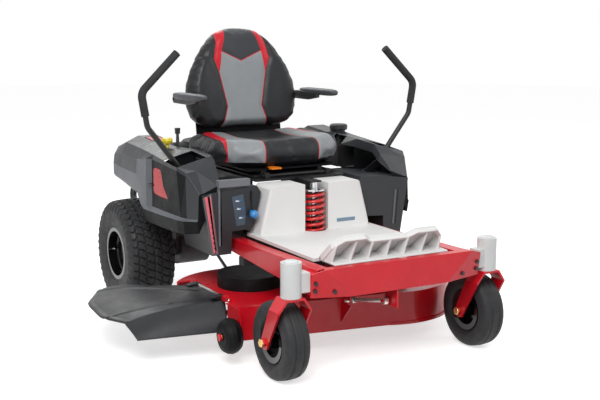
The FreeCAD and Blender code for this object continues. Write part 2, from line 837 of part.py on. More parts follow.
def platform_frame():
    """The black steel frame that carries the floor, the seat, the shock and the side covers."""
    tube_top = d.floor_top - d.floor_thick
    tubes = []
    for side in SIDES.values():
        x, width = span(side, 212, 242)
        tubes.append(block((x, front + 50, tube_top - 40), (x + width, -10, tube_top)))
        wall_x, wall = span(side, 196, 202)
        tubes.append(block((wall_x, d.seat_hinge_y + 6, tube_top), (wall_x + wall, -55, d.pan_low - 4)))
        foot_x, foot = span(side, 196, 242)
        tubes.append(block((foot_x, d.seat_hinge_y + 6, tube_top), (foot_x + foot, -55, tube_top + 5)))
        arm_x, arm = span(side, 202, d.lever_side + 14)
        tubes.append(block((arm_x, d.lever_y - 20, d.lever_drive_z - 34),
                           (arm_x + arm, d.lever_y + 20, d.lever_drive_z - 28)))
        ear_x, ear = span(side, d.lever_side + 14, d.lever_side + 20)
        tubes.append(block((ear_x, d.lever_y - 20, d.lever_drive_z - 34),
                           (ear_x + ear, d.lever_y + 20, d.lever_drive_z + 14)))
        brace_x, brace = span(side, 202, d.fender_outer - d.shell_wall)
        for y in (-320, -160):
            tubes.append(block((brace_x, y, d.tank_low - 6), (brace_x + brace, y + 40, d.tank_low)))
    top = block((-202, d.seat_hinge_y - 36, d.pan_low - 10), (202, -55, d.pan_low - 4))
    opening = block((-150, d.seat_hinge_y + 80, d.pan_low - 12), (150, -110, d.pan_low))
    nose = block((-24, d.spring_y - 16, d.pan_low - 10), (24, d.seat_hinge_y, d.pan_low - 4))
    hinge_lugs = []
    for x in (-150, 130):
        lug = block((x, d.seat_hinge_y - 12, d.pan_low - 5), (x + 20, d.seat_hinge_y + 12, d.seat_hinge_z + 12))
        hinge_lugs.append(lug)
    pin_hole = rod((-200, d.seat_hinge_y, d.seat_hinge_z), 6 + d.running_gap, 400, "x")
    drive_hole = rod((-420, d.lever_y, d.lever_drive_z), 9 + d.running_gap, 840, "x")
    finish("platform_frame", cut(fuse(*tubes, top, nose, *hinge_lugs), opening, pin_hole, drive_hole))


def damper():
    """The shock's upper tube with its eye and spring cup, around the rod that stands on the frame."""
    body = new_body("damper", 0, d.spring_y, 0)
    hole = d.damper_rod_radius + d.running_gap
    low = d.floor_top + 42
    cup = d.floor_top + 156
    roof = d.pan_low - 10.3
    revolve(body, [
        (hole, low), (15, low), (15, cup), (d.coil_radius + 6, cup), (d.coil_radius + 6, cup + 6),
        (15, cup + 8), (15, roof), (0, roof), (0, cup), (hole, cup),
    ], "V_Axis")


def front_spring():
    """The suspension coil: a round wire on a helix, between the frame's cup and the damper's cup."""
    low = d.rail_low + 17.5 + 66 + d.coil_wire + 0.3
    top = d.floor_top + 156 - d.coil_wire - 0.3
    helix = document.addObject("Part::Helix", "coil_line")
    bind(helix, "Radius", d.coil_radius)
    bind(helix, "Height", top - low)
    bind(helix, "Pitch", (top - low) / d.coil_turns)
    place(helix, 0, 0, 0, shifted=False)
    ring = document.addObject("Part::Circle", "coil_section")
    bind(ring, "Radius", d.coil_wire)
    bind(ring, "Placement.Base.x", d.coil_radius)
    ring.Placement = FreeCAD.Placement(ring.Placement.Base, FreeCAD.Rotation(FreeCAD.Vector(1, 0, 0), 90))
    coil = document.addObject("Part::Sweep", "coil")
    coil.Sections = [ring]
    coil.Spine = (helix, [])
    coil.Solid = True
    coil.Frenet = True
    finish("front_spring", coil, 0, d.spring_y, low)


def fender(name, side):
    """A side cover over the drive wheel: a sloped shell, open below and towards the seat."""
    body = new_body(f"fender_{name}")
    wall = d.shell_wall
    start, width = span(side, d.fender_inner, d.fender_outer)
    pad(body, "YZ_Plane", start, width, [
        (-652, 408), (-640, 498), (-524, 655), (-300, 702), (12, 726), (162, 622), (146, 548),
        (40, 522), (-120, 500), (-182, 470), (-190, 397)])
    outer_x = d.fender_outer if side > 0 else -d.fender_outer
    document.recompute()
    dress(body, "Chamfer", 34, lambda edge: edge.CenterOfMass.z > 560 and edge.Length > 60
          and abs(edge.CenterOfMass.x - number(outer_x)) < 1e-3)
    hollow_start, hollow = span(side, d.fender_inner - 1, d.fender_outer - wall - 34)
    pocket(body, "YZ_Plane", hollow_start, hollow, [
        (-646, 380), (-636, 496), (-521, 650), (-299, 697), (10, 721), (156, 620), (142, 552),
        (60, 420), (-186, 380)])
    deep_start, deep = span(side, d.fender_outer - 40, d.fender_outer - wall)
    pocket(body, "YZ_Plane", deep_start, deep, [
        (-646, 402), (-634, 494), (-521, 613), (-299, 660), (-2, 684), (112, 606), (130, 556),
        (40, 528), (-120, 506), (-188, 474), (-196, 403)])
    notch_start, notch = span(side, d.fender_inner - 2, 478)
    pocket(body, "XY_Plane", 380, 400, [
        (notch_start, -800), (notch_start + notch, -800), (notch_start + notch, d.console_back + 8),
        (notch_start, d.console_back + 8)])
    slot_start, slot = span(side, 455, 508)
    pocket(body, "XY_Plane", 600, 200, [
        (slot_start, -548), (slot_start + slot, -548), (slot_start + slot, -412), (slot_start, -412)])
    if side < 0:
        pocket(body, "XY_Plane", 600, 200, ((d.pto_x, -270), 8 + d.seat_gap))
        pocket(body, "XY_Plane", 694, 60, [
            (d.throttle_x - 5, -300), (d.throttle_x + 5, -300), (d.throttle_x + 5, -200),
            (d.throttle_x - 5, -200)])
        pad(body, "YZ_Plane", d.throttle_x - 12, 6, [(-262, 678), (-238, 678), (-238, 704), (-262, 703)])
        pad(body, "YZ_Plane", d.throttle_x - 8, 14, ((-250, 686), 6))
    else:
        pocket(body, "XY_Plane", 600, 200, ((440, -150), 33))


def console(name, side):
    """The control tower beside the operator's knee, hollow behind, with a slot for each lever."""
    body = new_body(f"console_{name}")
    wall = d.shell_wall
    length = d.console_back - d.console_front
    outline = [(466, 565), (430, 345), (428, 332), (348, 332), (344, 418), (258, 424), (219, 562),
               (236, 587), (300, 584), (400, 575)]
    inside = [(461, 561), (425, 345), (424, 328), (352, 328), (348, 422), (262, 428), (223, 561),
              (238, 583), (300, 580), (400, 571)]
    pad(body, "XZ_Plane", d.console_front, length, [(side * x, z) for x, z in outline])
    pocket(body, "XZ_Plane", d.console_front + wall, length, [(side * x, z) for x, z in inside])
    arm_start, arm = span(side, 190, 300)
    pocket(body, "XY_Plane", d.lever_drive_z - 36, 8, [
        (arm_start, d.lever_y - 22), (arm_start + arm, d.lever_y - 22), (arm_start + arm, d.lever_y + 22),
        (arm_start, d.lever_y + 22)])
    lever_start, lever = span(side, d.lever_side - 20, d.lever_side + 66)
    pocket(body, "XY_Plane", 540, 100, [
        (lever_start, d.lever_y - 42), (lever_start + lever, d.lever_y - 42),
        (lever_start + lever, d.lever_y + 30), (lever_start, d.lever_y + 30)])
    if side < 0:
        pocket(body, "XZ_Plane", d.console_front - 1, 20, [
            (-267.5, 470), (-256.5, 470), (-256.5, 570), (-267.5, 570)])
        pocket(body, "XZ_Plane", d.console_front - 1, 20, [
            (-402, 366), (-386, 366), (-386, 620), (-402, 620)])
        pocket(body, "XY_Plane", 570, 60, [
            (-402, d.console_front - 1), (-386, d.console_front - 1), (-386, -540), (-402, -540)])
        pad(body, "YZ_Plane", -433, 53, ((d.console_front + 26, 372), 6))


def fuel_tank():
    """The fuel tank inside the left cover, with its neck through the cover's top."""
    tank = block((376, -250, d.tank_low), (496, 0, 660))
    neck = rod((440, -150, 640), 30, 78)
    finish("fuel_tank", fuse(tank, neck))


def fuel_cap():
    body = new_body("fuel_cap", 440, -150, 0)
    revolve(body, [(0, 718.3), (38, 718.3), (40, 724), (40, 738), (34, 743), (0, 744)], "V_Axis")


# ---- controls ----------------------------------------------------------------------------------

def speed_lever():
    """The speed selector: a ball knob on a stem through the console, with a shoe behind the slot."""
    front_y = d.console_front
    stem = rod((-262, front_y - 16, 482), 5, 36, "y")
    shoe = block((-272, front_y + d.shell_wall + d.seat_gap, 470), (-253, front_y + 18, 494))
    ball = document.addObject("Part::Sphere", "ball")
    bind(ball, "Radius", 17)
    place(ball, -262, front_y - 24, 482, shifted=False)
    finish("speed_lever", fuse(stem, shoe, ball))


def cut_height_lever():
    """The cutting height lever: a flat arm that rises through the console's slot to a paddle."""
    pivot_y = d.console_front + 26
    arm = block((-398, d.console_front + 5, 366), (-390, d.console_front + 27, 600))
    paddle = block((-400, d.console_front - 6, 592), (-268, d.console_front + 22, 618))
    hub = rod((-401, pivot_y, 372), 12, 14, "x")
    hole = rod((-410, pivot_y, 372), 6 + d.running_gap, 60, "x")
    finish("cut_height_lever", cut(fuse(arm, paddle, hub), hole))


def throttle_lever():
    """The throttle: a flat lever on a pin under the side cover, with a moulded tip."""
    body = new_body("throttle_lever")
    pad(body, "YZ_Plane", d.throttle_x - 3.5, 7, [
        (-260, 676), (-240, 676), (-238, 700), (-244, 760), (-256, 760), (-262, 700)])
    pad(body, "YZ_Plane", d.throttle_x - 9, 18, [(-245, 754), (-241, 778), (-259, 778), (-255, 754)])
    pocket(body, "YZ_Plane", d.throttle_x - 5, 10, ((-250, 686), 6 + d.running_gap))


def pto_knob():
    """The blade clutch switch: pull the knob up to start the blades."""
    body = new_body("pto_knob", d.pto_x, -270, 0)
    revolve(body, [(0, 678), (13, 678), (13, 683), (8, 683), (8, 718), (20, 722), (24, 732), (20, 742), (0, 746)],
            "V_Axis")


# ---- seat --------------------------------------------------------------------------------------

def seat_pan():
    """The tipping seat plate with its hinge knuckle and pin in front and two slide rails on top."""
    hinge_y = d.seat_hinge_y
    plate = block((-185, hinge_y + 18, d.pan_low), (185, -65, d.pan_low + d.pan_plate))
    parts = [plate]
    for x in (-128, 98):
        parts.append(block((x, hinge_y - 5, d.pan_low), (x + 30, hinge_y + 20, d.pan_low + 10)))
    for x in (-140, 120):
        parts.append(block((x, hinge_y + 40, d.pan_low + d.pan_plate), (x + 20, -80, d.pan_low + 22)))
    parts.append(rod((-156, hinge_y, d.seat_hinge_z), 6, 312, "x"))
    finish("seat_pan", fuse(*parts))


def seat_shell():
    """The seat's base plate on two runners, bent up behind the back cushion."""
    body = new_body("seat_shell")
    base = d.pan_low + 22 + d.seat_gap
    plate = 6
    pad(body, "YZ_Plane", -205, 410, [
        (-520, base), (-66, base), (-46, base + 12), (30, 1120), (24, 1120), (-51, base + 16),
        (-69, base + plate), (-520, base + plate)])
    pad(body, "XY_Plane", base + 1, plate + 4.4, ((d.latch_x, d.latch_y), d.latch_pin))
    for side in SIDES.values():
        start, width = span(side, 175, 205)
        pocket(body, "YZ_Plane", start, width, [(-600, 640), (-600, 700), (100, 700), (100, 640)])
        pocket(body, "XZ_Plane", -100, 200, [
            (side * 206, 930), (side * 206, 1125), (side * 100, 1125), (side * 150, 1060)])
        ear, ear_width = span(side, 200, d.back_half + 7.7)
        pivot_z = d.armrest_z - 20
        pad(body, "YZ_Plane", ear, ear_width, [
            (-12, pivot_z - 8), (12, pivot_z - 8), (12, pivot_z + 8), (-12, pivot_z + 8)])
        pin, pin_width = span(side, 200, d.back_half + 24)
        pad(body, "YZ_Plane", pin, pin_width, ((-2, pivot_z), 6))


def seat_cushion():
    """The bottom cushion as a plain crowned block."""
    body = new_body("seat_cushion")
    base = d.pan_low + 22 + d.seat_gap + 6 + d.seat_gap + 6
    half = d.cushion_half
    pad(body, "XY_Plane", base, d.cushion_top - base, [
        (-130, -538), (130, -538), (half - 55, -470), (half, -390), (half, -130), (half - 60, -72),
        (-half + 60, -72), (-half, -130), (-half, -390), (-half + 55, -470)])
    dress(body, "Fillet", 24, lambda edge: edge.BoundBox.ZLength < 1e-3
          and edge.CenterOfMass.z > number(d.cushion_top) - 1)


def shell_face(z):
    """Where the front of the seat shell's upright plate lies at a height."""
    return -51 + (z - 650) * 0.16


def seat_backrest():
    """The high back cushion, a leaning slab with a rounded outline, in front of the shell's plate."""
    body = new_body("seat_backrest")
    top = d.back_top
    half = d.back_half
    low = 738
    thick = 74
    pad(body, "YZ_Plane", -half, 2 * half, [
        (shell_face(low) - d.seat_gap - thick, low + 4), (shell_face(low) - d.seat_gap, low),
        (shell_face(top) - d.seat_gap, top), (shell_face(top) - thick, top - 6)])
    flank = [(half - 150, low - 1), (half - 95, low + 4), (half - 52, low + 18), (half - 20, low + 47),
             (half - 4, low + 92), (half, low + 142), (half - 7, low + 202), (half - 30, low + 262),
             (half - 58, low + 312), (half - 94, low + 362), (half - 135, top - 40), (half - 175, top - 15),
             (half - 230, top + 1)]
    outline = flank + [(-x, z) for x, z in reversed(flank)]
    pocket(body, "XZ_Plane", -250, 500,
           [(-half - 50, 700), (half + 50, 700), (half + 50, top + 60), (-half - 50, top + 60)], outline)


def armrest(name, side):
    """A folding armrest: a bent pad on an arm with its pivot eye at the back cushion's side."""
    body = new_body(f"armrest_{name}")
    inner = d.back_half + 8
    start, width = span(side, inner, inner + 56)
    z = d.armrest_z
    pad(body, "YZ_Plane", start, width, [
        (-354, z + 2), (-330, z - 6), (-150, z - 10), (-60, z - 6), (-40, z + 6), (-60, z + 14), (-150, z + 14),
        (-330, z + 20), (-350, z + 16)])
    arm_start, arm = span(side, inner, inner + 14)
    pad(body, "YZ_Plane", arm_start, arm, [
        (-230, z - 6), (-150, z - 30), (-20, z - 36), (6, z - 36), (18, z - 20), (8, z - 2), (-60, z + 8),
        (-230, z + 8)])
    pocket(body, "YZ_Plane", arm_start - 1, arm + 2, ((-2, z - 20), 6 + d.running_gap))
    dress(body, "Fillet", 5, lambda edge: edge.Length > 50 and not along(edge, "x") and edge.CenterOfMass.z
          > number(z) + 2)


def seat_latch():
    """The seat slide latch: a flat tab under the front of the cushion, on an upright pin."""
    base = d.pan_low + 22 + d.seat_gap + 6 + d.seat_gap
    body = new_body("seat_latch")
    pad(body, "XY_Plane", base, 5.4, [
        (-112, -556), (-70, -556), (-66, -540), (-78, -500), (-78, -470), (-102, -470), (-102, -500), (-116, -540)])
    pocket(body, "XY_Plane", base - 1, 8, ((d.latch_x, d.latch_y), d.latch_pin + d.running_gap))


# ---- control levers ----------------------------------------------------------------------------

def lever_base(name, side):
    """The drive lever's lower post: a cross shaft in the frame's ear and a swing pin on top."""
    x = side * d.lever_side
    y = d.lever_y
    post_x, post = span(side, d.lever_side - 5, d.lever_side + 5)
    post_block = block((post_x, y - 14, d.lever_drive_z - 12), (post_x + post, y + 14, d.lever_swing_z - 34))
    shaft_start, shaft_length = span(side, d.lever_side - 5, d.lever_side + 26)
    shaft = rod((shaft_start, y, d.lever_drive_z), 9, shaft_length, "x")
    knuckle = rod((x, y - 14, d.lever_swing_z), 11, 12, "y")
    neck = block((post_x, y - 14, d.lever_swing_z - 36), (post_x + post, y - 2, d.lever_swing_z))
    pin = rod((x, y - 14, d.lever_swing_z), 6, 29, "y")
    finish(f"lever_base_{name}", fuse(post_block, shaft, knuckle, neck, pin))


def lever_points(side):
    """The corners of the upper lever: the tube's foot, its low bend, its elbow and its tip."""
    y = d.lever_y
    return [(side * 449, y + 6, 617), (side * 600, y + 6, 812), (side * d.lever_elbow_x, y + 6, 944), (side * 479, y + 6, 1084)]


def lever_tube(name, side):
    """The upper lever: a flat offset arm on the swing pin, bolted to a bent tube."""
    x = number(d.lever_side)
    y = number(d.lever_y)
    z = number(d.lever_swing_z)
    foot = lever_points(side)[0]
    slope = math.atan2(number(foot[2]) - z, abs(number(foot[0])) - x)
    length = math.hypot(number(foot[2]) - z, abs(number(foot[0])) - x) + 40
    arm = Part.makeBox(length + 16, 6, 30, FreeCAD.Vector(-16, 0, -15))
    eye_hole = Part.makeCylinder(
        6 + number(d.running_gap), 40, FreeCAD.Vector(0, -10, 0), FreeCAD.Vector(0, 1, 0))
    arm = arm.cut(eye_hole)
    arm.Placement = FreeCAD.Placement(
        FreeCAD.Vector(x, y - 1.7, z), FreeCAD.Rotation(FreeCAD.Vector(0, 1, 0), -math.degrees(slope)))
    points = lever_points(1)
    lifted = [(px, py + 9, pz) for px, py, pz in points]
    tube = bent_tube(lifted, 45, number(d.lever_tube_radius))
    shape = arm.fuse(tube)
    if side < 0:
        shape = shape.mirror(FreeCAD.Vector(), FreeCAD.Vector(1, 0, 0))
    shaped(f"lever_tube_{name}", shape)


def lever_grip(name, side):
    """The foam sleeve over the upper stretch of the lever tube."""
    points = [vector(px, py + 9, pz) for px, py, pz in lever_points(1)]
    low = points[1] + (points[2] - points[1]) * 0.32
    tip = points[3] + (points[3] - points[2]).normalize() * 4
    route = [tuple(low), tuple(points[2]), tuple(tip)]
    sleeve = bent_tube(route, 45, number(d.grip_radius), number(d.lever_tube_radius))
    outward = (points[3] - points[2]).normalize()
    cap = Part.makeCylinder(number(d.grip_radius), 5, tip, outward)
    shape = sleeve.fuse(cap)
    if side < 0:
        shape = shape.mirror(FreeCAD.Vector(), FreeCAD.Vector(1, 0, 0))
    shaped(f"lever_grip_{name}", shape)


# ---- mower deck --------------------------------------------------------------------------------

SPINDLES = {
    "left": (d.spindle_left_x, d.spindle_left_y),
    "right": (d.spindle_right_x, d.spindle_right_y),
}


def deck_shell():
    """The cutting deck: two round lobes and a body between them, open below and at the chute."""
    body = new_body("deck_shell")
    low = d.deck_low
    top = d.deck_top
    wall = d.deck_wall
    radius = d.lobe_radius
    left_x, left_y = SPINDLES["left"]
    right_x, right_y = SPINDLES["right"]
    inset = 60
    corner_x = d.roller_x + 41
    corner_y = d.roller_y + 34
    bridge = [(left_x, left_y - radius + 1), (left_x + inset, left_y + radius - 30),
              (right_x - inset, right_y + radius - 30), (corner_x, right_y), (corner_x, corner_y)]
    inner_bridge = [(left_x, left_y - radius + wall + 1), (left_x + inset, left_y + radius - 30 - wall),
                    (right_x - inset, right_y + radius - 30 - wall), (corner_x + wall, right_y),
                    (corner_x + wall, corner_y + wall + 1)]
    height = top - low
    for centre in SPINDLES.values():
        pad(body, "XY_Plane", low, height, (centre, radius))
        pad(body, "XY_Plane", low, 10, (centre, radius + 6))
    pad(body, "XY_Plane", low, height, bridge)
    for centre in SPINDLES.values():
        pocket(body, "XY_Plane", low - 1, height - wall + 1, (centre, radius - wall))
    pocket(body, "XY_Plane", low - 1, height - wall + 1, inner_bridge)
    chute_low = d.hinge_x - 160
    pocket(body, "XY_Plane", low - 1, height - wall + 1, [
        (chute_low, -868), (-400, -868), (-400, -490), (chute_low, -490)])
    pocket(body, "XY_Plane", low - 1, height + 2, [
        (chute_low, -860), (d.hinge_x + 8, -860), (d.hinge_x + 8, -480), (chute_low, -480)])
    for centre in SPINDLES.values():
        pad(body, "XY_Plane", top - 40, 44, (centre, 40))
    for centre in SPINDLES.values():
        pocket(body, "XY_Plane", top - 45, 60, (centre, d.spindle_radius + d.running_gap))
    hinge_z = d.hinge_z
    for y in (-850, -560):
        pad(body, "XZ_Plane", y, 30, [
            (d.hinge_x - 9, hinge_z - 9), (d.hinge_x + 30, top - 1), (d.hinge_x + 30, top + 2),
            (d.hinge_x + 9, hinge_z + 9), (d.hinge_x - 9, hinge_z + 9)])
    pocket(body, "XZ_Plane", -900, 500, ((d.hinge_x, hinge_z), d.hinge_pin_radius + d.running_gap))
    pad(body, "YZ_Plane", d.roller_x + 37, 6, [
        (d.roller_y - 18, d.roller_z - 14), (d.roller_y + 18, d.roller_z - 14), (corner_y + 40, top - 50),
        (corner_y + 40, top), (corner_y - 30, top)])
    pad(body, "YZ_Plane", d.roller_x - 44, 84, ((d.roller_y, d.roller_z), 8 - d.running_gap))
    pad(body, "YZ_Plane", d.roller_x - 44, 8, ((d.roller_y, d.roller_z), 13))
    pad(body, "YZ_Plane", d.link_x - 32, 6, [
        (d.link_back_y + 40, top - 2), (d.link_back_y - 32, top + 14), (d.link_back_y - 32, top - 22),
        (d.link_back_y + 40, low + 24)])
    slot_low = d.link_back_z - 8.5
    pocket(body, "YZ_Plane", d.link_x - 33, 8, [
        (d.link_back_y - 26, slot_low), (d.link_back_y + 13, slot_low), (d.link_back_y + 13, slot_low + 17),
        (d.link_back_y - 26, slot_low + 17)])


def belt_loop(clearance, z):
    """The outline around the three deck pulleys, at a distance from their centres."""
    centres = [vector(*SPINDLES["left"], z), vector(*SPINDLES["right"], z), vector(0, d.crank_y, z)]
    triangle = Part.makePolygon(centres + centres[:1])
    return triangle.makeOffset2D(clearance)


def deck_belt():
    """The drive belt around the crankshaft pulley and both spindle pulleys."""
    inner = number(d.pulley_radius) - 5 + number(d.seat_gap)
    outer_face = Part.Face(belt_loop(inner + 9, d.belt_low))
    inner_face = Part.Face(belt_loop(inner, d.belt_low))
    shaped("deck_belt", outer_face.cut(inner_face).extrude(vector(0, 0, d.belt_width)))


def belt_covers():
    """Two round covers over the spindle pulleys, cut away where the belt runs out."""
    radius = 126
    wall = 4
    top = number(d.deck_top)
    covers = []
    swath = Part.Face(belt_loop(number(d.pulley_radius) + 12, top + 6)).extrude(vector(0, 0, 34))
    core = Part.Face(belt_loop(number(d.pulley_radius) - 14, top + 6)).extrude(vector(0, 0, 34))
    window = swath.cut(core)
    for x, y in SPINDLES.values():
        base = vector(x, y, top + 0.3)
        outer = Part.makeCylinder(radius, 50, base)
        inner = Part.makeCylinder(radius - wall, 46, base)
        covers.append(outer.cut(inner).cut(window).Solids[0])
    shaped("belt_covers", Part.makeCompound(covers))


def blade(name, centre):
    """A blade spindle: shaft, pulley and hub turned as one, with the flat blade bolted below."""
    x, y = centre
    body = new_body(f"blade_{name}", x, y, 0)
    low = d.belt_low - 6
    rim = d.pulley_radius
    shaft = d.spindle_radius
    revolve(body, [
        (0, 88), (16, 88), (16, 94), (30, 94), (30, 104), (shaft + 6, 106), (shaft + 6, 154), (shaft, 156),
        (shaft, low - 1), (rim, low), (rim, low + 5), (rim - 5, low + 6), (rim - 5, low + 16), (rim, low + 17),
        (rim, low + 22), (18, low + 23), (18, low + 30), (0, low + 30),
    ], "V_Axis")
    half = 28
    reach = math.sqrt(number(d.blade_radius) ** 2 - half ** 2)
    pad(body, "XY_Plane", 95, 6, [(-reach, -half), (reach, -half), (reach, half), (-reach, half)])


def deflector():
    """The discharge deflector: a sloping cover with a skirt in front, on a hinge pin."""
    body = new_body("deflector")
    x0 = d.hinge_x - 14
    reach = -d.deflector_reach
    top = d.hinge_z - 2
    length = d.deflector_back - d.deflector_front
    pad(body, "XZ_Plane", d.deflector_front, length, [
        (x0, top - 6), (x0, top), (x0 - 60, top + 2), (reach + 60, 176), (reach, 158), (reach, 152),
        (reach + 58, 170), (x0 - 60, top - 4)])
    pad(body, "XZ_Plane", d.deflector_front, 6, [
        (x0, top - 5), (x0 - 60, top - 2), (reach + 60, 172), (reach + 26, 160), (reach + 80, 96), (x0 - 70, 98)])
    pocket(body, "XY_Plane", 60, 200, [
        (x0 + 1, -492), (x0 + 1, d.deflector_back + 1), (reach + 75, d.deflector_back + 1)])
    pocket(body, "XY_Plane", 60, 200, [
        (reach - 1, d.deflector_back - 140), (reach + 75, d.deflector_back + 1), (reach - 1, d.deflector_back + 1)])
    pocket(body, "XY_Plane", 60, 200, [
        (reach - 1, d.deflector_front - 1), (reach + 28, d.deflector_front - 1), (reach - 1, d.deflector_front + 90)])
    for y in (-815, -600):
        pad(body, "XZ_Plane", y, 30, [
            (x0 - 4, top - 5), (d.hinge_x - 2, d.hinge_z - 9), (d.hinge_x + 7, d.hinge_z - 5),
            (d.hinge_x + 7, d.hinge_z + 7), (d.hinge_x - 6, d.hinge_z + 8), (x0 - 4, top)])
    pad(body, "XZ_Plane", -856, 332, ((d.hinge_x, d.hinge_z), d.hinge_pin_radius))


def deck_roller():
    """The anti-scalp roller at the deck's front corner, turned with rounded shoulders."""
    body = new_body("deck_roller", d.roller_x, d.roller_y, d.roller_z)
    radius = d.roller_radius
    revolve(body, [
        (-34, 8), (34, 8), (34, radius - 26), (28, radius - 12), (14, radius - 3), (0, radius),
        (-14, radius - 3), (-28, radius - 12), (-34, radius - 26)])


for side_name, side_sign in SIDES.items():
    frame_rail(side_name, side_sign)
    caster_fork(side_name, side_sign)
    caster_rim(side_name, side_sign)
    caster_tyre(side_name, side_sign)
    rear_rim(side_name, side_sign)
    rear_tyre(side_name, side_sign)
    fender(side_name, side_sign)
    console(side_name, side_sign)
    lever_base(side_name, side_sign)
    lever_tube(side_name, side_sign)
    lever_grip(side_name, side_sign)
    armrest(side_name, side_sign)
    blade(side_name, SPINDLES[side_name])

for build in (front_panel, cross_members, caster_heads, frame_bolts, engine_block, engine_shroud, crankshaft,
              muffler, transaxles, rear_guard, deck_link, floor_pan, footrest, front_shroud, platform_frame,
              damper, front_spring, fuel_tank, fuel_cap, speed_lever, cut_height_lever, throttle_lever,
              pto_knob, seat_pan, seat_shell, seat_cushion, seat_backrest, seat_latch, deck_shell, deck_belt,
              belt_covers, deflector, deck_roller):
    build()

document.recompute()

for item in document.Objects:
    if {"Invalid", "Error"} & set(item.State):
        raise RuntimeError(f"{item.Name} ({item.Label}) failed to recompute")
for label, item in pieces.items():
    if item.Shape.isNull() or not item.Shape.isValid():
        raise RuntimeError(f"{label} has no valid shape")
os.makedirs("parts", exist_ok=True)
for label, item in pieces.items():
    item.Shape.exportStep(f"parts/{label}.step")
print(len(pieces), "pieces written")
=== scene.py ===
import math

import bmesh
import bpy
import numpy as np
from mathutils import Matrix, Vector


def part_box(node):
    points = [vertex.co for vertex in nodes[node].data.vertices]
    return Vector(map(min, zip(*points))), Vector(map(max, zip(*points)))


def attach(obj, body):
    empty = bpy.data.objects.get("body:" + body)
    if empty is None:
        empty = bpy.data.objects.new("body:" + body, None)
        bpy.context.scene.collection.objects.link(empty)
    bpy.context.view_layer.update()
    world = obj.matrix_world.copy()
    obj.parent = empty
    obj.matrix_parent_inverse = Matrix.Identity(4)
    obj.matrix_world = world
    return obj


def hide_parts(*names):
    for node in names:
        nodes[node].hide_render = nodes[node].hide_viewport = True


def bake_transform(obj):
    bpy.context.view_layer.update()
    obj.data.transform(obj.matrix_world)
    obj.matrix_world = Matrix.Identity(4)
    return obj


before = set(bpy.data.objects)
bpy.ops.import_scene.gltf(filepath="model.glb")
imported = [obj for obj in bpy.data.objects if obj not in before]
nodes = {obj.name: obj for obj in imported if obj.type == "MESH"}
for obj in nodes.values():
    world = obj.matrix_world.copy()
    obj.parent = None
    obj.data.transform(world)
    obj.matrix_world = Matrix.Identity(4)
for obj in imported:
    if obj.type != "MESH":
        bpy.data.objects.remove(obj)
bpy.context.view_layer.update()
print("frame loaded,", len(nodes), "nodes")

# the drawing datum: middle of the rear axle, on the ground. Lengths are metres from there, or millimetres
# where they are divided by 1000 further on
leftTyreLow, leftTyreHigh = (np.array(corner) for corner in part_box("rear_tyre_left"))
rightTyreLow = np.array(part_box("rear_tyre_right")[0])
datum = np.array([(leftTyreHigh[0] + rightTyreLow[0]) / 2, (leftTyreLow[1] + leftTyreHigh[1]) / 2, 0.0])


def corners(node):
    low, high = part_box(node)
    return np.array(low) - datum, np.array(high) - datum


def gridFaces(rows, columns, closeColumns=False):
    # quads between neighbouring points of a rows by columns grid, wrapped round where columns are closed
    r = np.arange(rows - 1)
    c = np.arange(columns if closeColumns else columns - 1)
    r, c = (a.ravel() for a in np.meshgrid(r, c, indexing="ij"))
    r2, c2 = r + 1, (c + 1) % columns
    return np.stack([r * columns + c, r2 * columns + c, r2 * columns + c2, r * columns + c2], axis=1)


def addPiece(name, points, faces, finish, body, smooth=True, standsFor=(), slotName=None):
    mesh = bpy.data.meshes.new(name)
    points = np.asarray(points, dtype=float).reshape(-1, 3) + datum
    mesh.from_pydata(points.tolist(), [], [list(map(int, f)) for f in faces])
    mesh.validate()
    mesh.update()
    piece = bpy.data.objects.new(name, mesh)
    bpy.context.collection.objects.link(piece)
    for each in finish if isinstance(finish, (list, tuple)) else [finish]:
        mesh.materials.append(each)
    if smooth:
        mesh.polygons.foreach_set("use_smooth", np.ones(len(mesh.polygons), dtype=bool))
    if body:
        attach(piece, body)
    if standsFor:
        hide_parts(*standsFor)
    return piece


def sharpen(piece, degrees=32):
    # smooth shading that breaks where faces meet at more than the angle
    mesh = piece.data
    mesh.update()
    mesh.set_sharp_from_angle(angle=math.radians(degrees))
    return piece


def lathe(profile, centre, axis="x", turns=96):
    # each (along, radius) point of the profile goes round the axis: centre + along*axis + radius*(cos, sin)
    profile = np.asarray(profile, dtype=float)
    angle = np.linspace(0, 2 * np.pi, turns, endpoint=False)
    along = np.repeat(profile[:, :1], turns, axis=1)
    reach = np.repeat(profile[:, 1:], turns, axis=1)
    c, s = np.cos(angle)[None, :] * reach, np.sin(angle)[None, :] * reach
    order = {"x": (along, c, s), "y": (s, along, c), "z": (c, s, along)}[axis]
    points = np.stack(order, axis=-1) + np.asarray(centre)
    return points.reshape(-1, 3), gridFaces(len(profile), turns, closeColumns=True)


def closeEnds(points, faces, turns):
    # fans of triangles over the first and last ring of a lathed surface
    count = len(points)
    first, last = points[:turns].mean(axis=0), points[-turns:].mean(axis=0)
    points = np.vstack([points, first, last])
    k = np.arange(turns)
    k2 = (k + 1) % turns
    fans = [np.stack([k2, k, np.full(turns, count)], axis=1).tolist(),
            np.stack([count - turns + k, count - turns + k2, np.full(turns, count + 1)], axis=1).tolist()]
    return points, [list(f) for f in faces] + fans[0] + fans[1]


def lastToFirst(rows, turns):
    # quads that close a lathed tube, from its last ring back to its first
    ring = np.arange(turns)
    following = (ring + 1) % turns
    last = (rows - 1) * turns
    return np.stack([last + ring, ring, following, last + following], axis=1)


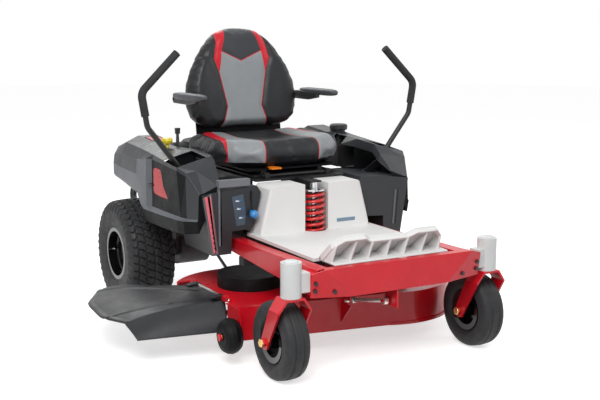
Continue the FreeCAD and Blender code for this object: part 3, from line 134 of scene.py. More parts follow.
def carried(path, radius, sides=16):
    # a round section carried along the path, square to it, with no twist between neighbours
    path = np.asarray(path, dtype=float)
    ahead = np.roll(path, -1, axis=0) - np.roll(path, 1, axis=0)
    ahead[0], ahead[-1] = path[1] - path[0], path[-1] - path[-2]
    ahead /= np.linalg.norm(ahead, axis=1, keepdims=True)
    side = np.cross(ahead, [0.0, 0.31, 0.95])  # a direction that no path here runs along
    side /= np.linalg.norm(side, axis=1, keepdims=True)
    up = np.cross(side, ahead)
    angle = np.linspace(0, 2 * np.pi, sides, endpoint=False)
    radius = np.broadcast_to(radius, len(path))[:, None, None]
    ring = side[:, None] * np.cos(angle)[None, :, None] + up[:, None] * np.sin(angle)[None, :, None]
    points = (path[:, None] + ring * radius).reshape(-1, 3)
    faces = gridFaces(len(path), sides, closeColumns=True)[:, ::-1]
    k = np.arange(sides)
    ends = [list(k), list((len(path) - 1) * sides + k[::-1])]
    return points, [list(f) for f in faces] + ends


def plate(outline, depth, frameOf):
    # a closed slab: the flat outline is set at depth 0 and depth, and frameOf turns (u, v, w) into a point
    outline = np.asarray(outline, dtype=float)
    count = len(outline)
    near = np.column_stack([outline, np.zeros(count)])
    far = np.column_stack([outline, np.full(count, depth)])
    k = np.arange(count)
    k2 = (k + 1) % count
    sides = np.stack([k, k2, count + k2, count + k], axis=1).tolist()
    return frameOf(np.vstack([near, far])), [list(k[::-1]), list(count + k)] + sides


def repairNormals(piece, merge=True):
    shape = bmesh.new()
    shape.from_mesh(piece.data)
    if merge:
        bmesh.ops.remove_doubles(shape, verts=shape.verts, dist=1e-6)
    bmesh.ops.recalc_face_normals(shape, faces=shape.faces)
    shape.to_mesh(piece.data)
    shape.free()
    return piece


def bevelled(piece, width, segments=2):
    rounding = piece.modifiers.new("rounding", "BEVEL")
    rounding.width = width
    rounding.segments = segments
    rounding.limit_method = "ANGLE"
    rounding.angle_limit = math.radians(28)
    return piece


class Finish:
    # a material with one main shader, and short ways to add and join nodes
    def __init__(self, name, metallic=0.0, specular=0.5, coat=0.0, coatRough=0.1):
        self.material = bpy.data.materials.new(name)
        self.material.use_nodes = True
        self.tree = self.material.node_tree
        self.shader = self.tree.nodes["Principled BSDF"]
        self.shader.inputs["Metallic"].default_value = metallic
        self.shader.inputs["Specular IOR Level"].default_value = specular
        self.shader.inputs["Coat Weight"].default_value = coat
        self.shader.inputs["Coat Roughness"].default_value = coatRough
        self.spot = self.tree.nodes.new("ShaderNodeTexCoord").outputs["Object"]

    def node(self, kind, **settings):
        made = self.tree.nodes.new(kind)
        for key, value in settings.items():
            setattr(made, key, value)
        return made

    def join(self, source, target):
        self.tree.links.new(source, target)

    def feed(self, socket, value):
        if isinstance(value, bpy.types.NodeSocket):
            self.join(value, socket)
        else:
            socket.default_value = value

    def maths(self, kind, a, b=0.0):
        made = self.node("ShaderNodeMath", operation=kind)
        self.feed(made.inputs[0], a)
        self.feed(made.inputs[1], b)
        return made.outputs[0]

    def noise(self, scale, detail=3.0, rough=0.55):
        made = self.node("ShaderNodeTexNoise")
        made.inputs["Scale"].default_value = scale
        made.inputs["Detail"].default_value = detail
        made.inputs["Roughness"].default_value = rough
        self.join(self.spot, made.inputs["Vector"])
        return made.outputs["Fac"]

    def cells(self, scale):
        made = self.node("ShaderNodeTexVoronoi")
        made.inputs["Scale"].default_value = scale
        self.join(self.spot, made.inputs["Vector"])
        return made.outputs["Distance"]

    def ranged(self, value, low, high, toLow, toHigh):
        made = self.node("ShaderNodeMapRange")
        self.join(value, made.inputs["Value"])
        for key, amount in zip(("From Min", "From Max", "To Min", "To Max"), (low, high, toLow, toHigh)):
            made.inputs[key].default_value = amount
        return made.outputs["Result"]

    def mix(self, share, first, second):
        made = self.node("ShaderNodeMix", data_type="RGBA")
        self.feed(made.inputs["Factor"], share)
        for socket, value in ((made.inputs[6], first), (made.inputs[7], second)):
            self.feed(socket, value if isinstance(value, bpy.types.NodeSocket) else (*value, 1.0))
        return made.outputs[2]

    def bump(self, height, strength, distance):
        made = self.node("ShaderNodeBump")
        made.inputs["Strength"].default_value = strength
        made.inputs["Distance"].default_value = distance
        self.join(height, made.inputs["Height"])
        self.join(made.outputs["Normal"], self.shader.inputs["Normal"])

    def where(self):
        # x, y and z measured from the drawing datum
        made = self.node("ShaderNodeSeparateXYZ")
        self.join(self.spot, made.inputs[0])
        return [self.maths("SUBTRACT", made.outputs[i], float(datum[i])) for i in range(3)]

    def curve(self, value, points):
        # straight pieces through the points, as nested ranges added up
        total = None
        for (a, fa), (b, fb) in zip(points, points[1:]):
            step = self.ranged(value, a, b, 0.0, fb - fa)
            total = step if total is None else self.maths("ADD", total, step)
        return self.maths("ADD", total, points[0][1])

    def colour(self, value):
        self.feed(self.shader.inputs["Base Color"], value)

    def roughness(self, value):
        self.feed(self.shader.inputs["Roughness"], value)


def coated(name, spec):
    # a solid colour that drifts over patches, a roughness that varies, and a fine grain
    shine = {key: spec[key] for key in ("metallic", "specular", "coat", "coatRough") if key in spec}
    made = Finish(name, **shine)
    base = np.array(spec["colour"])
    patches = made.ranged(made.noise(spec["patch"], 4.0), 0.3, 0.7, 0.0, 1.0)
    darker, lighter = base * (1 - spec["drift"]), np.minimum(base * (1 + spec["drift"]), 1)
    tone = made.mix(patches, tuple(darker), tuple(lighter))
    if "dust" in spec:
        dust = made.ranged(made.noise(spec["dustScale"], 6.0, 0.7), 0.52, 0.75, 0.0, spec["dust"])
        tone = made.mix(dust, tone, spec["dustColour"])
    made.colour(tone)
    spread = spec.get("spread", 0.08)
    smear = made.noise(18.0, 5.0, 0.65)
    made.roughness(made.ranged(smear, 0.3, 0.7, max(spec["rough"] - spread, 0.03), spec["rough"] + spread))
    grain = made.cells(spec["cell"]) if "cell" in spec else made.noise(spec["grain"], 2.0)
    made.bump(grain, spec.get("lift", 0.15), spec.get("height", 0.0006))
    return made.material


finishes = {
    "redCoat": dict(colour=(0.62, 0.004, 0.014), rough=0.34, specular=0.35, coat=0.25, coatRough=0.10,
                    patch=5, drift=0.10, grain=260, lift=0.07, height=0.0006),
    "blackCoat": dict(colour=(0.007, 0.007, 0.008), rough=0.42, specular=0.4, patch=9, drift=0.3,
                      grain=420, lift=0.12, dust=0.25, dustScale=30, dustColour=(0.05, 0.05, 0.052)),
    "silverCasting": dict(colour=(0.66, 0.67, 0.67), rough=0.42, patch=14, drift=0.07, grain=900,
                          lift=0.35, height=0.0008, coat=0.15),
    "brightZinc": dict(colour=(0.62, 0.61, 0.58), rough=0.32, metallic=1.0, patch=60, drift=0.15,
                       grain=800),
    "brassZinc": dict(colour=(0.72, 0.50, 0.20), rough=0.32, metallic=1.0, patch=80, drift=0.18,
                      grain=800),
    "forgedSteel": dict(colour=(0.20, 0.20, 0.21), rough=0.42, metallic=1.0, patch=40, drift=0.3,
                        grain=500, lift=0.2),
    "hotSteel": dict(colour=(0.30, 0.27, 0.25), rough=0.40, metallic=1.0, patch=20, drift=0.3, grain=500,
                     dust=0.5, dustScale=24, dustColour=(0.16, 0.09, 0.05)),
    "castEngine": dict(colour=(0.055, 0.056, 0.06), rough=0.5, patch=20, drift=0.2, cell=260, lift=0.25,
                       height=0.0012),
    "axleCasting": dict(colour=(0.09, 0.09, 0.095), rough=0.5, patch=22, drift=0.25, cell=300, lift=0.3,
                        height=0.0012),
    "greyMoulding": dict(colour=(0.055, 0.060, 0.068), rough=0.42, specular=0.4, patch=6, drift=0.10,
                         cell=900, lift=0.3, height=0.0007, spread=0.06),
    "paleMoulding": dict(colour=(0.155, 0.165, 0.18), rough=0.42, specular=0.4, patch=6, drift=0.08,
                         cell=900, lift=0.25, height=0.0007, spread=0.06),
    "blackMoulding": dict(colour=(0.004, 0.0044, 0.005), rough=0.48, specular=0.12, patch=7, drift=0.2,
                          cell=800, lift=0.3, height=0.0007, dust=0.2, dustScale=22,
                          dustColour=(0.045, 0.046, 0.05)),
    "rimEnamel": dict(colour=(0.004, 0.004, 0.0045), rough=0.14, specular=0.5, coat=0.3, patch=8,
                      drift=0.3, grain=300, lift=0.06),
    "whiteMoulding": dict(colour=(0.72, 0.72, 0.71), rough=0.55, patch=5, drift=0.03, cell=700, lift=0.3,
                          height=0.0007, spread=0.06),
    "chuteRubber": dict(colour=(0.012, 0.013, 0.015), rough=0.40, specular=0.4, patch=8, drift=0.25,
                        grain=300, lift=0.15, height=0.0008, dust=0.15, dustScale=16,
                        dustColour=(0.05, 0.052, 0.055)),
    "beltRubber": dict(colour=(0.02, 0.02, 0.02), rough=0.6, patch=30, drift=0.3, grain=500, lift=0.3),
    "foamGrip": dict(colour=(0.035, 0.036, 0.038), rough=0.85, patch=18, drift=0.25, cell=1100, lift=0.5,
                     height=0.0009, specular=0.25),
    "armPad": dict(colour=(0.050, 0.053, 0.060), rough=0.5, patch=14, drift=0.12, cell=1000, lift=0.3,
                   height=0.0006),
    "springCoat": dict(colour=(0.56, 0.012, 0.012), rough=0.26, coat=0.4, patch=30, drift=0.12, grain=500,
                       lift=0.05),
    "damperChrome": dict(colour=(0.55, 0.55, 0.56), rough=0.15, metallic=1.0, patch=30, drift=0.08,
                         grain=700, lift=0.03),
    "ballBlue": dict(colour=(0.03, 0.22, 0.55), rough=0.25, coat=0.3, patch=60, drift=0.08, grain=500,
                     lift=0.05),
    "tabOrange": dict(colour=(0.85, 0.22, 0.01), rough=0.35, patch=60, drift=0.08, grain=600, lift=0.1),
    "tagYellow": dict(colour=(0.80, 0.55, 0.02), rough=0.4, patch=60, drift=0.1, grain=600, lift=0.05),
    "darkHood": dict(colour=(0.020, 0.022, 0.026), rough=0.36, specular=0.42, patch=6, drift=0.12,
                     cell=900, lift=0.25, height=0.0006, spread=0.06),
    "badgeRed": dict(colour=(0.62, 0.008, 0.016), rough=0.28, patch=20, drift=0.06, grain=600, lift=0.05),
    "scalePink": dict(colour=(0.78, 0.16, 0.20), rough=0.4, patch=50, drift=0.12, grain=600, lift=0.1),
    "dialBlue": dict(colour=(0.05, 0.075, 0.11), rough=0.35, patch=30, drift=0.1, grain=600, lift=0.1),
    "signWhite": dict(colour=(0.72, 0.80, 0.86), rough=0.4, patch=60, drift=0.05, grain=600, lift=0.05),
    "knobYellow": dict(colour=(0.78, 0.62, 0.02), rough=0.3, patch=60, drift=0.08, grain=600, lift=0.1),
    # paleHood is darkHood lightened: on the side covers it is a painted highlight
    "paleHood": dict(colour=(0.105, 0.115, 0.13), rough=0.36, specular=0.5, patch=6, drift=0.1, cell=900,
                     lift=0.25, height=0.0006, spread=0.06),
    "boltBlack": dict(colour=(0.03, 0.03, 0.032), rough=0.4, metallic=0.6, patch=60, drift=0.2, grain=500,
                      lift=0.1),
    "labelBlue": dict(colour=(0.16, 0.24, 0.32), rough=0.4, patch=30, drift=0.1, grain=600, lift=0.05),
    "capBlack": dict(colour=(0.02, 0.02, 0.021), rough=0.5, patch=30, drift=0.2, grain=500, lift=0.2),
}
coats = {name: coated(name, spec) for name, spec in finishes.items()}
print("finishes made:", len(coats))

nodeFinish = {
    "redCoat": "frame_rail_right frame_rail_left front_panel caster_fork_right caster_fork_left deck_shell",
    "blackCoat": "cross_members rear_guard platform_frame seat_pan lever_base_right lever_base_left "
                 "lever_tube_right lever_tube_left",
    "silverCasting": "caster_heads",
    "brightZinc": "deck_link",
    "boltBlack": "frame_bolts",
    "forgedSteel": "crank_pulley blade_right blade_left",
    "hotSteel": "muffler",
    "castEngine": "engine_block",
    "axleCasting": "transaxles",
    "blackMoulding": "engine_shroud fan_screen belt_covers fender_right fender_left seat_shell deck_roller",
    "darkHood": "console_right console_left",
    "paleMoulding": "cut_height_lever",
    "whiteMoulding": "floor_pan footrest front_shroud",
    "rimEnamel": "caster_rim_right caster_rim_left rear_rim_right rear_rim_left",
    "chuteRubber": "deflector",
    "beltRubber": "deck_belt",
    "capBlack": "fuel_cap fuel_tank throttle_lever",
    "foamGrip": "lever_grip_right lever_grip_left",
    "armPad": "armrest_right armrest_left",
    "damperChrome": "damper",
    "ballBlue": "speed_lever",
    "tabOrange": "seat_latch",
    "knobYellow": "pto_knob",
}


def dressNodes():
    for finish, names in nodeFinish.items():
        for name in names.split():
            mesh = nodes[name].data
            if not mesh.materials:
                mesh.materials.append(coats[finish])
            for slot in nodes[name].material_slots:
                slot.material = coats[finish]


dressNodes()
print("frame dressed")


view = {"place": (-2.15335, -4.41945, 1.2680), "yaw": 29.291, "pitch": 9.914, "lens": 66.80}


def setCamera():
    lens = bpy.data.cameras.new("viewer")
    lens.lens = view["lens"]
    lens.sensor_width = 36
    camera = bpy.data.objects.new("viewer", lens)
    camera.location = datum + np.array(view["place"])
    camera.rotation_euler = (math.radians(90 - view["pitch"]), 0, -math.radians(view["yaw"]))
    bpy.context.collection.objects.link(camera)
    bpy.context.scene.camera = camera


studio = {"world": 0.44, "key": 175, "side": 30, "rear": 60, "floorGlow": 0.60, "floorTone": 0.80,
          "floorShade": 0.30}


def areaLamp(name, power, size, place, target=(0, 0, 0.4)):
    lamp = bpy.data.lights.new(name, "AREA")
    lamp.energy = power
    lamp.shape = "DISK"
    lamp.size = size
    item = bpy.data.objects.new(name, lamp)
    item.location = place
    aim = np.array(target) - np.array(place)
    item.rotation_euler = (math.atan2(math.hypot(aim[0], aim[1]), -aim[2]), 0, math.atan2(-aim[0], aim[1]))
    bpy.context.collection.objects.link(item)


def seenDirectly(tree):
    # 1 where the eye, a reflection or a clear piece sees the surface
    path = tree.nodes.new("ShaderNodeLightPath")
    first = tree.nodes.new("ShaderNodeMath")
    first.operation = "MAXIMUM"
    tree.links.new(path.outputs["Is Camera Ray"], first.inputs[0])
    tree.links.new(path.outputs["Is Glossy Ray"], first.inputs[1])
    second = tree.nodes.new("ShaderNodeMath")
    second.operation = "MAXIMUM"
    tree.links.new(first.outputs[0], second.inputs[0])
    tree.links.new(path.outputs["Is Transmission Ray"], second.inputs[1])
    return second.outputs[0]


def setStudio():
    scene = bpy.context.scene
    scene.view_settings.view_transform = "Standard"
    world = bpy.data.worlds.new("studio")
    world.use_nodes = True
    scene.world = world
    tree = world.node_tree
    back = tree.nodes["Background"]
    back.inputs["Color"].default_value = (1, 1, 1, 1)
    level = tree.nodes.new("ShaderNodeMapRange")
    level.inputs["To Min"].default_value = studio["world"]
    level.inputs["To Max"].default_value = 1.0
    tree.links.new(seenDirectly(tree), level.inputs["Value"])
    tree.links.new(level.outputs["Result"], back.inputs["Strength"])
    areaLamp("key", studio["key"], 3.0, (-2.2, -3.2, 3.6))
    areaLamp("side", studio["side"], 2.4, (3.4, -1.8, 2.6))
    areaLamp("rear", studio["rear"], 2.6, (0.6, 3.0, 3.4))
    # a wide flat disc: radius and angle grid, slightly below the tyres
    points, faces = lathe([(0.0, 0.001), (0.0, 3.0), (0.0, 14.0)], (0, 0, -0.0006), "z", 64)
    floorFinish = bpy.data.materials.new("floorPaper")
    floorFinish.use_nodes = True
    tree = floorFinish.node_tree
    shader = tree.nodes["Principled BSDF"]
    tone = studio["floorTone"]
    shade = studio["floorShade"]
    seen = seenDirectly(tree)
    paper = tree.nodes.new("ShaderNodeMix")
    paper.data_type = "RGBA"
    paper.inputs[6].default_value = (shade, shade, shade, 1)
    paper.inputs[7].default_value = (tone, tone, tone, 1)
    tree.links.new(seen, paper.inputs["Factor"])
    tree.links.new(paper.outputs[2], shader.inputs["Base Color"])
    shader.inputs["Roughness"].default_value = 0.9
    shader.inputs["Specular IOR Level"].default_value = 0.1
    shader.inputs["Emission Color"].default_value = (1, 1, 1, 1)
    glow = tree.nodes.new("ShaderNodeMath")
    glow.operation = "MULTIPLY"
    glow.inputs[1].default_value = studio["floorGlow"]
    tree.links.new(seen, glow.inputs[0])
    tree.links.new(glow.outputs[0], shader.inputs["Emission Strength"])
    floor = addPiece("studioFloor", points - datum, faces, floorFinish, None)


setCamera()
setStudio()
print("camera and studio set")


def vinylFinish(name, where):
    # where(made, x, y, z) gives the cover's colour; leather grain, slow creases and a soft gloss
    made = Finish(name, specular=0.35)
    x, y, z = made.where()
    made.colour(where(made, x, y, z))
    made.roughness(made.ranged(made.noise(22, 4), 0.3, 0.7, 0.36, 0.52))
    grain = made.cells(620)
    fold = made.noise(16, 3, 0.5)
    height = made.maths("ADD", made.maths("MULTIPLY", grain, 0.25), made.maths("MULTIPLY", fold, 1.2))
    made.bump(height, 0.22, 0.0016)
    return made


vinyl = {"black": (0.008, 0.0085, 0.010), "charcoal": (0.034, 0.036, 0.041), "grey": (0.24, 0.255, 0.265),
         "red": (0.58, 0.010, 0.024)}

def vinylTones(made):
    # the black and the grey of both covers, each drifting a little
    drift = made.ranged(made.noise(9, 4), 0.3, 0.7, 0.0, 1.0)
    black = made.mix(drift, vinyl["black"], tuple(np.array(vinyl["black"]) * 1.6))
    grey = made.mix(drift, vinyl["grey"], tuple(np.array(vinyl["grey"]) * 1.12))
    return black, grey


def onSeam(made, value, line, width):
    # 1 within the width of the line on either side
    away = made.maths("ABSOLUTE", made.maths("SUBTRACT", value, line))
    return made.maths("LESS_THAN", away, width)


backPanels = {
    "waist": [(0.749, 0.111), (0.840, 0.081), (0.994, 0.112), (1.043, 0.131), (1.180, 0.099)],
    "stripeInner": [(0.994, 0.108), (1.078, 0.094), (1.180, 0.061)],
    "peak": (1.033, 0.447), "stripeFoot": 0.990, "seam": 0.0016,
}


def backColour(made, x, y, z):
    spread = made.maths("ABSOLUTE", x)
    edge = made.curve(z, backPanels["waist"])
    inner = made.curve(z, backPanels["stripeInner"])
    peak = made.maths("ADD", made.maths("MULTIPLY", spread, backPanels["peak"][1]), backPanels["peak"][0])
    above = made.maths("GREATER_THAN", z, peak)
    black, grey = vinylTones(made)
    centre = made.mix(above, grey, vinyl["charcoal"])
    centre = made.mix(onSeam(made, z, peak, backPanels["seam"]), centre, vinyl["red"])
    stripe = made.maths("MULTIPLY", made.maths("GREATER_THAN", spread, inner),
                      made.maths("GREATER_THAN", z, backPanels["stripeFoot"]))
    centre = made.mix(stripe, centre, vinyl["red"])
    cover = made.mix(made.maths("GREATER_THAN", spread, edge), centre, black)
    cover = made.mix(onSeam(made, spread, edge, backPanels["seam"]), cover, vinyl["red"])
    facing = made.maths("LESS_THAN", y, made.maths("ADD", made.maths("MULTIPLY", z, 0.16), -0.121))
    return made.mix(facing, black, cover)


cushionPanels = {
    "centre": 0.122, "bolster": [(-0.54, 0.262), (-0.40, 0.252), (-0.25, 0.235), (-0.07, 0.215)],
    "strip": [(-0.54, 0.0018), (-0.45, 0.0022), (-0.37, 0.022), (-0.07, 0.048)], "seam": 0.0016, "low": 0.650,
}


def cushionColour(made, x, y, z):
    spread = made.maths("ABSOLUTE", x)
    edge = made.curve(y, cushionPanels["bolster"])
    inner = made.maths("SUBTRACT", edge, made.curve(y, cushionPanels["strip"]))
    black, grey = vinylTones(made)
    centre = made.mix(made.maths("LESS_THAN", spread, cushionPanels["centre"]), grey, black)
    seam = onSeam(made, spread, cushionPanels["centre"], cushionPanels["seam"])
    centre = made.mix(seam, centre, vinyl["red"])
    centre = made.mix(made.maths("GREATER_THAN", spread, inner), centre, vinyl["red"])
    cover = made.mix(made.maths("GREATER_THAN", spread, edge), centre, black)
    return made.mix(made.maths("LESS_THAN", z, cushionPanels["low"]), cover, black)


blowUp = {"frames": 20, "quality": 4, "stiffness": 12}  # shared by both covers


def puffedPad(name, node, spec, shape):
    # a cushion: the node's solid in small quads, drawn in a little, blown up by cloth, capped and smoothed
    source = nodes[node]
    mesh = source.data.copy()
    piece = bpy.data.objects.new(name, mesh)
    bpy.context.collection.objects.link(piece)
    bpy.context.view_layer.objects.active = piece
    repairNormals(piece)
    remesh = piece.modifiers.new("quads", "REMESH")
    remesh.mode = "VOXEL"
    remesh.voxel_size = spec["voxel"]
    applyModifiers(piece)
    count = len(piece.data.vertices)
    start = np.empty(count * 3)
    piece.data.vertices.foreach_get("co", start)
    start = start.reshape(-1, 3)
    middle = (start.min(axis=0) + start.max(axis=0)) / 2
    half = (start.max(axis=0) - start.min(axis=0)) / 2
    shrunk = middle + (start - middle) * (1 - spec["inset"] / half)
    piece.data.vertices.foreach_set("co", shrunk.ravel())
    blow = piece.modifiers.new("cloth", "CLOTH")
    blow.settings.quality = blowUp["quality"]
    blow.settings.use_pressure = True
    blow.settings.uniform_pressure_force = spec["pressure"]
    blow.settings.effector_weights.gravity = 0
    blow.settings.tension_stiffness = blowUp["stiffness"]
    blow.settings.compression_stiffness = blowUp["stiffness"]
    for step in range(1, blowUp["frames"] + 1):
        bpy.context.scene.frame_set(step)
    graph = bpy.context.evaluated_depsgraph_get()
    blown = piece.evaluated_get(graph)
    puffed = np.empty(count * 3)
    blown.data.vertices.foreach_get("co", puffed)
    piece.modifiers.remove(blow)
    bpy.context.scene.frame_set(1)
    move = puffed.reshape(-1, 3) - shrunk
    reach = np.linalg.norm(move, axis=1, keepdims=True)
    puffedPoints = shrunk + move * np.minimum(1, spec["cap"] / np.maximum(reach, 1e-9))
    low, high = (np.array(c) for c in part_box(node))
    puffedPoints = shape(puffedPoints - datum) + datum
    puffedPoints = np.clip(puffedPoints, low - 0.004, high + 0.006)
    piece.data.vertices.foreach_set("co", puffedPoints.ravel())
    relax = piece.modifiers.new("relax", "SMOOTH")
    relax.factor = 0.5
    relax.iterations = spec["relax"]
    finer = piece.modifiers.new("finer", "SUBSURF")
    finer.levels = finer.render_levels = 1
    applyModifiers(piece)
    piece.data.polygons.foreach_set("use_smooth", np.ones(len(piece.data.polygons), dtype=bool))
    return piece


def applyModifiers(piece):
    graph = bpy.context.evaluated_depsgraph_get()
    graph.update()
    fresh = bpy.data.meshes.new_from_object(piece.evaluated_get(graph))
    piece.modifiers.clear()
    piece.data = fresh


def channel(distance, depth, width):
    # how far a seam at signed distance pulls the cover in: a narrow bell of the given depth
    return depth * np.exp(-(distance / width) ** 2)


def backShape(p):
    # seams along the panel edges and hollow bolster roots, on the front face only
    edgeZ, edgeX = np.array(backPanels["waist"]).T
    edge = np.interp(p[:, 2], edgeZ, edgeX)
    front = 1 / (1 + np.exp(np.clip((p[:, 1] - (p[:, 2] * 0.16 - 0.150)) / 0.006, -40, 40)))
    peak = backPanels["peak"][0] + np.abs(p[:, 0]) * backPanels["peak"][1]
    sink = channel(np.abs(p[:, 0]) - edge, 0.010, 0.009)
    inside = np.abs(p[:, 0]) < edge - 0.01
    sink = np.maximum(sink, inside * channel(p[:, 2] - peak, 0.004, 0.006))
    bulge = 0.014 * np.exp(-((np.abs(p[:, 0]) - 0.20) / 0.055) ** 2) * np.exp(-((p[:, 2] - 0.90) / 0.16) ** 2)
    hollow = 0.012 * np.exp(-(p[:, 0] / 0.10) ** 2)
    out = p.copy()
    out[:, 1] += (sink + hollow - bulge) * front
    return out


def cushionShape(p):
    # seams between the panels, a hollow to sit in, raised bolsters and fine ribs along the sides
    edgeY, edgeX = np.array(cushionPanels["bolster"]).T
    edge = np.interp(p[:, 1], edgeY, edgeX)
    top = 1 / (1 + np.exp(np.clip(-(p[:, 2] - 0.690) / 0.010, -40, 40)))
    spread = np.abs(p[:, 0])
    sink = np.maximum(channel(spread - edge, 0.010, 0.009),
                      channel(spread - cushionPanels["centre"], 0.006, 0.006))
    hollow = 0.018 * np.exp(-(p[:, 0] / 0.17) ** 2) * np.exp(-((p[:, 1] + 0.28) / 0.15) ** 2)
    out = p.copy()
    out[:, 2] -= (sink + hollow) * top
    front = np.exp(-((p[:, 1] + 0.538) / 0.03) ** 2)
    out[:, 1] += sink * front
    side = 1 / (1 + np.exp(np.clip(-(spread - edge - 0.012) / 0.004, -40, 40)))
    out[:, 0] -= np.sign(p[:, 0]) * side * 0.0022 * (1 + np.cos(p[:, 1] * 2 * np.pi / 0.022))
    return out


seatSpecs = {
    "back": dict(node="seat_backrest", voxel=0.0055, inset=np.array([0.008, 0.007, 0.008]), pressure=3.0,
                 cap=0.014, relax=12),
    "cushion": dict(node="seat_cushion", voxel=0.0055, inset=np.array([0.008, 0.008, 0.007]), pressure=3.0,
                    cap=0.012, relax=12),
}


def makeSeat():
    for cover, part, colour, shape in (("seatBackCover", "back", backColour, backShape),
                                       ("seatCushionCover", "cushion", cushionColour, cushionShape)):
        node = seatSpecs[part]["node"]
        pad = puffedPad(cover, node, seatSpecs[part], shape)
        pad.data.materials.clear()
        pad.data.materials.append(vinylFinish(f"{part}Vinyl", colour).material)
        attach(pad, "seat")
        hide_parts(node)


makeSeat()
print("seat padded")


def rubberFinish(name):
    made = Finish(name, specular=0.4)
    drift = made.ranged(made.noise(14, 5, 0.7), 0.3, 0.75, 0.0, 0.35)  # dust in patches
    made.colour(made.mix(drift, (0.010, 0.0105, 0.012), (0.034, 0.035, 0.037)))
    made.roughness(made.ranged(made.noise(40, 4), 0.3, 0.7, 0.52, 0.72))
    made.bump(made.noise(700, 3), 0.2, 0.0006)
    return made.material


driveTread = {"columns": 6, "pitches": 42, "depth": 0.0075, "groove": 0.16, "zigzag": 0.22, "turns": 672,
              "curl": 0.12, "pitchShare": 1.25, "flank": 0.06, "barGap": 0.16, "barDepth": 0.0022}


def driveTyre(name, side):
    # a round carcass whose crown carries offset hexagonal lugs: radius falls by the depth in the gaps
    low, high = corners(f"rear_tyre_{name}")
    centre = (low + high) / 2
    half, top = (high[0] - low[0]) / 2, (high[2] - low[2]) / 2
    outline = np.array([(-0.0850, 0.104), (-0.0905, 0.112), (-0.0950, 0.122), (-half + 0.0015, top - 0.062),
                        (-half, top - 0.050), (-half + 0.001, top - 0.038), (-half + 0.004, top - 0.026),
                        (-half + 0.009, top - 0.015), (-half + 0.017, top - 0.008),
                        (-half + 0.028, top - 0.004)])
    crown = np.column_stack([np.linspace(-half + 0.028, half - 0.028, 62), np.zeros(62)])
    crown[:, 1] = top - 0.004 * (crown[:, 0] / (half - 0.028)) ** 2
    shoulder = np.column_stack([np.linspace(-half + 0.009, -half + 0.028, 12), np.zeros(12)])
    shoulder[:, 1] = np.interp(shoulder[:, 0], outline[6:, 0], outline[6:, 1])
    left = np.vstack([outline[:7], shoulder[:-1]])
    profile = np.vstack([left, crown, (left * [-1, 1])[::-1]])
    turns = driveTread["turns"]
    angle = np.linspace(0, 2 * np.pi, turns, endpoint=False)
    across, turn = np.meshgrid(profile[:, 0], angle, indexing="ij")
    reach = np.repeat(profile[:, 1:], turns, axis=1)
    column = (across + half) / (2 * half) * driveTread["columns"]
    around = turn / (2 * np.pi) * driveTread["pitches"]
    fromMiddle = np.abs(around % 1 - 0.5)
    bent = column + driveTread["zigzag"] * (2 * fromMiddle - 0.5)
    index = np.floor(bent)
    inColumn = bent - index
    inPitch = (around + 0.5 * (index % 2) + driveTread["curl"] * np.sin(2 * np.pi * inColumn)) % 1
    edge = np.minimum(np.minimum(inColumn, 1 - inColumn),
                      np.minimum(inPitch, 1 - inPitch) * driveTread["pitchShare"])
    lug = np.clip((edge - driveTread["groove"] * 0.45) / driveTread["flank"], 0, 1)
    crownMask = np.clip((half - 0.010 - np.abs(across)) / 0.004, 0, 1)
    wing = (np.abs(across) >= half - 0.012) & (np.abs(across) < half + 1e-6) & (reach > top - 0.044)
    sideBar = wing * np.clip((fromMiddle - driveTread["barGap"]) / 0.05, 0, 1)
    reach = reach - driveTread["depth"] * crownMask * (1 - lug)
    push = -driveTread["barDepth"] * sideBar * np.sign(across)
    points = np.stack([across + push, reach * np.cos(turn), reach * np.sin(turn)], axis=-1) + centre
    faces = gridFaces(len(profile), turns, closeColumns=True)[:, ::-1]
    faces = np.vstack([faces, lastToFirst(len(profile), turns)[:, ::-1]])
    piece = addPiece(f"driveTyre{side}", points, faces, tyreRubber, f"wheel_{name}",
                     standsFor=[f"rear_tyre_{name}"], slotName="tyre")
    repairNormals(piece)
    return sharpen(piece, 50)


casterTread = {"grooves": (-0.016, 0.016), "width": 0.0022, "depth": 0.0035, "turns": 160}


def casterTyre(name, side):
    # a smooth crown with two narrow rounded grooves, and a raised bead ring on each wall
    low, high = corners(f"caster_tyre_{name}")
    centre = (low + high) / 2
    half, top = (high[0] - low[0]) / 2, (high[2] - low[2]) / 2
    wall = [(-0.0347, 0.0775), (-0.039, 0.081), (-half + 0.003, top - 0.050), (-half, top - 0.038),
            (-half + 0.0012, top - 0.026), (-half + 0.0012, top - 0.024), (-half + 0.004, top - 0.014),
            (-half + 0.009, top - 0.007), (-half + 0.015, top - 0.0035)]
    crown = np.linspace(-half + 0.018, half - 0.018, 61)
    rise = top - 0.0025 * (crown / (half - 0.018)) ** 2
    for groove in casterTread["grooves"]:
        rise -= casterTread["depth"] * np.exp(-((crown - groove) / casterTread["width"]) ** 2)
    wall = np.array(wall)
    profile = np.vstack([wall, np.column_stack([crown, rise]), (wall * [-1, 1])[::-1]])
    turns = casterTread["turns"]
    points, faces = lathe(profile, centre, "x", turns)
    faces = np.vstack([faces, lastToFirst(len(profile), turns)])
    piece = addPiece(f"casterTyre{side}", points, faces, tyreRubber, f"caster_{name}",
                     standsFor=[f"caster_tyre_{name}"], slotName="tyre")
    repairNormals(piece)
    return sharpen(piece, 45)


tyreRubber = rubberFinish("tyreRubber")
for name, side in (("right", "Right"), ("left", "Left")):
    driveTyre(name, side)
    casterTyre(name, side)
print("tyres made")


def merged(parts):
    # several (points, faces) sets as one
    points, faces, start = [], [], 0
    for some, quads in parts:
        some = np.asarray(some, dtype=float).reshape(-1, 3)
        points.append(some)
        faces += [[int(k) + start for k in face] for face in quads]
        start += len(some)
    return np.vstack(points), faces


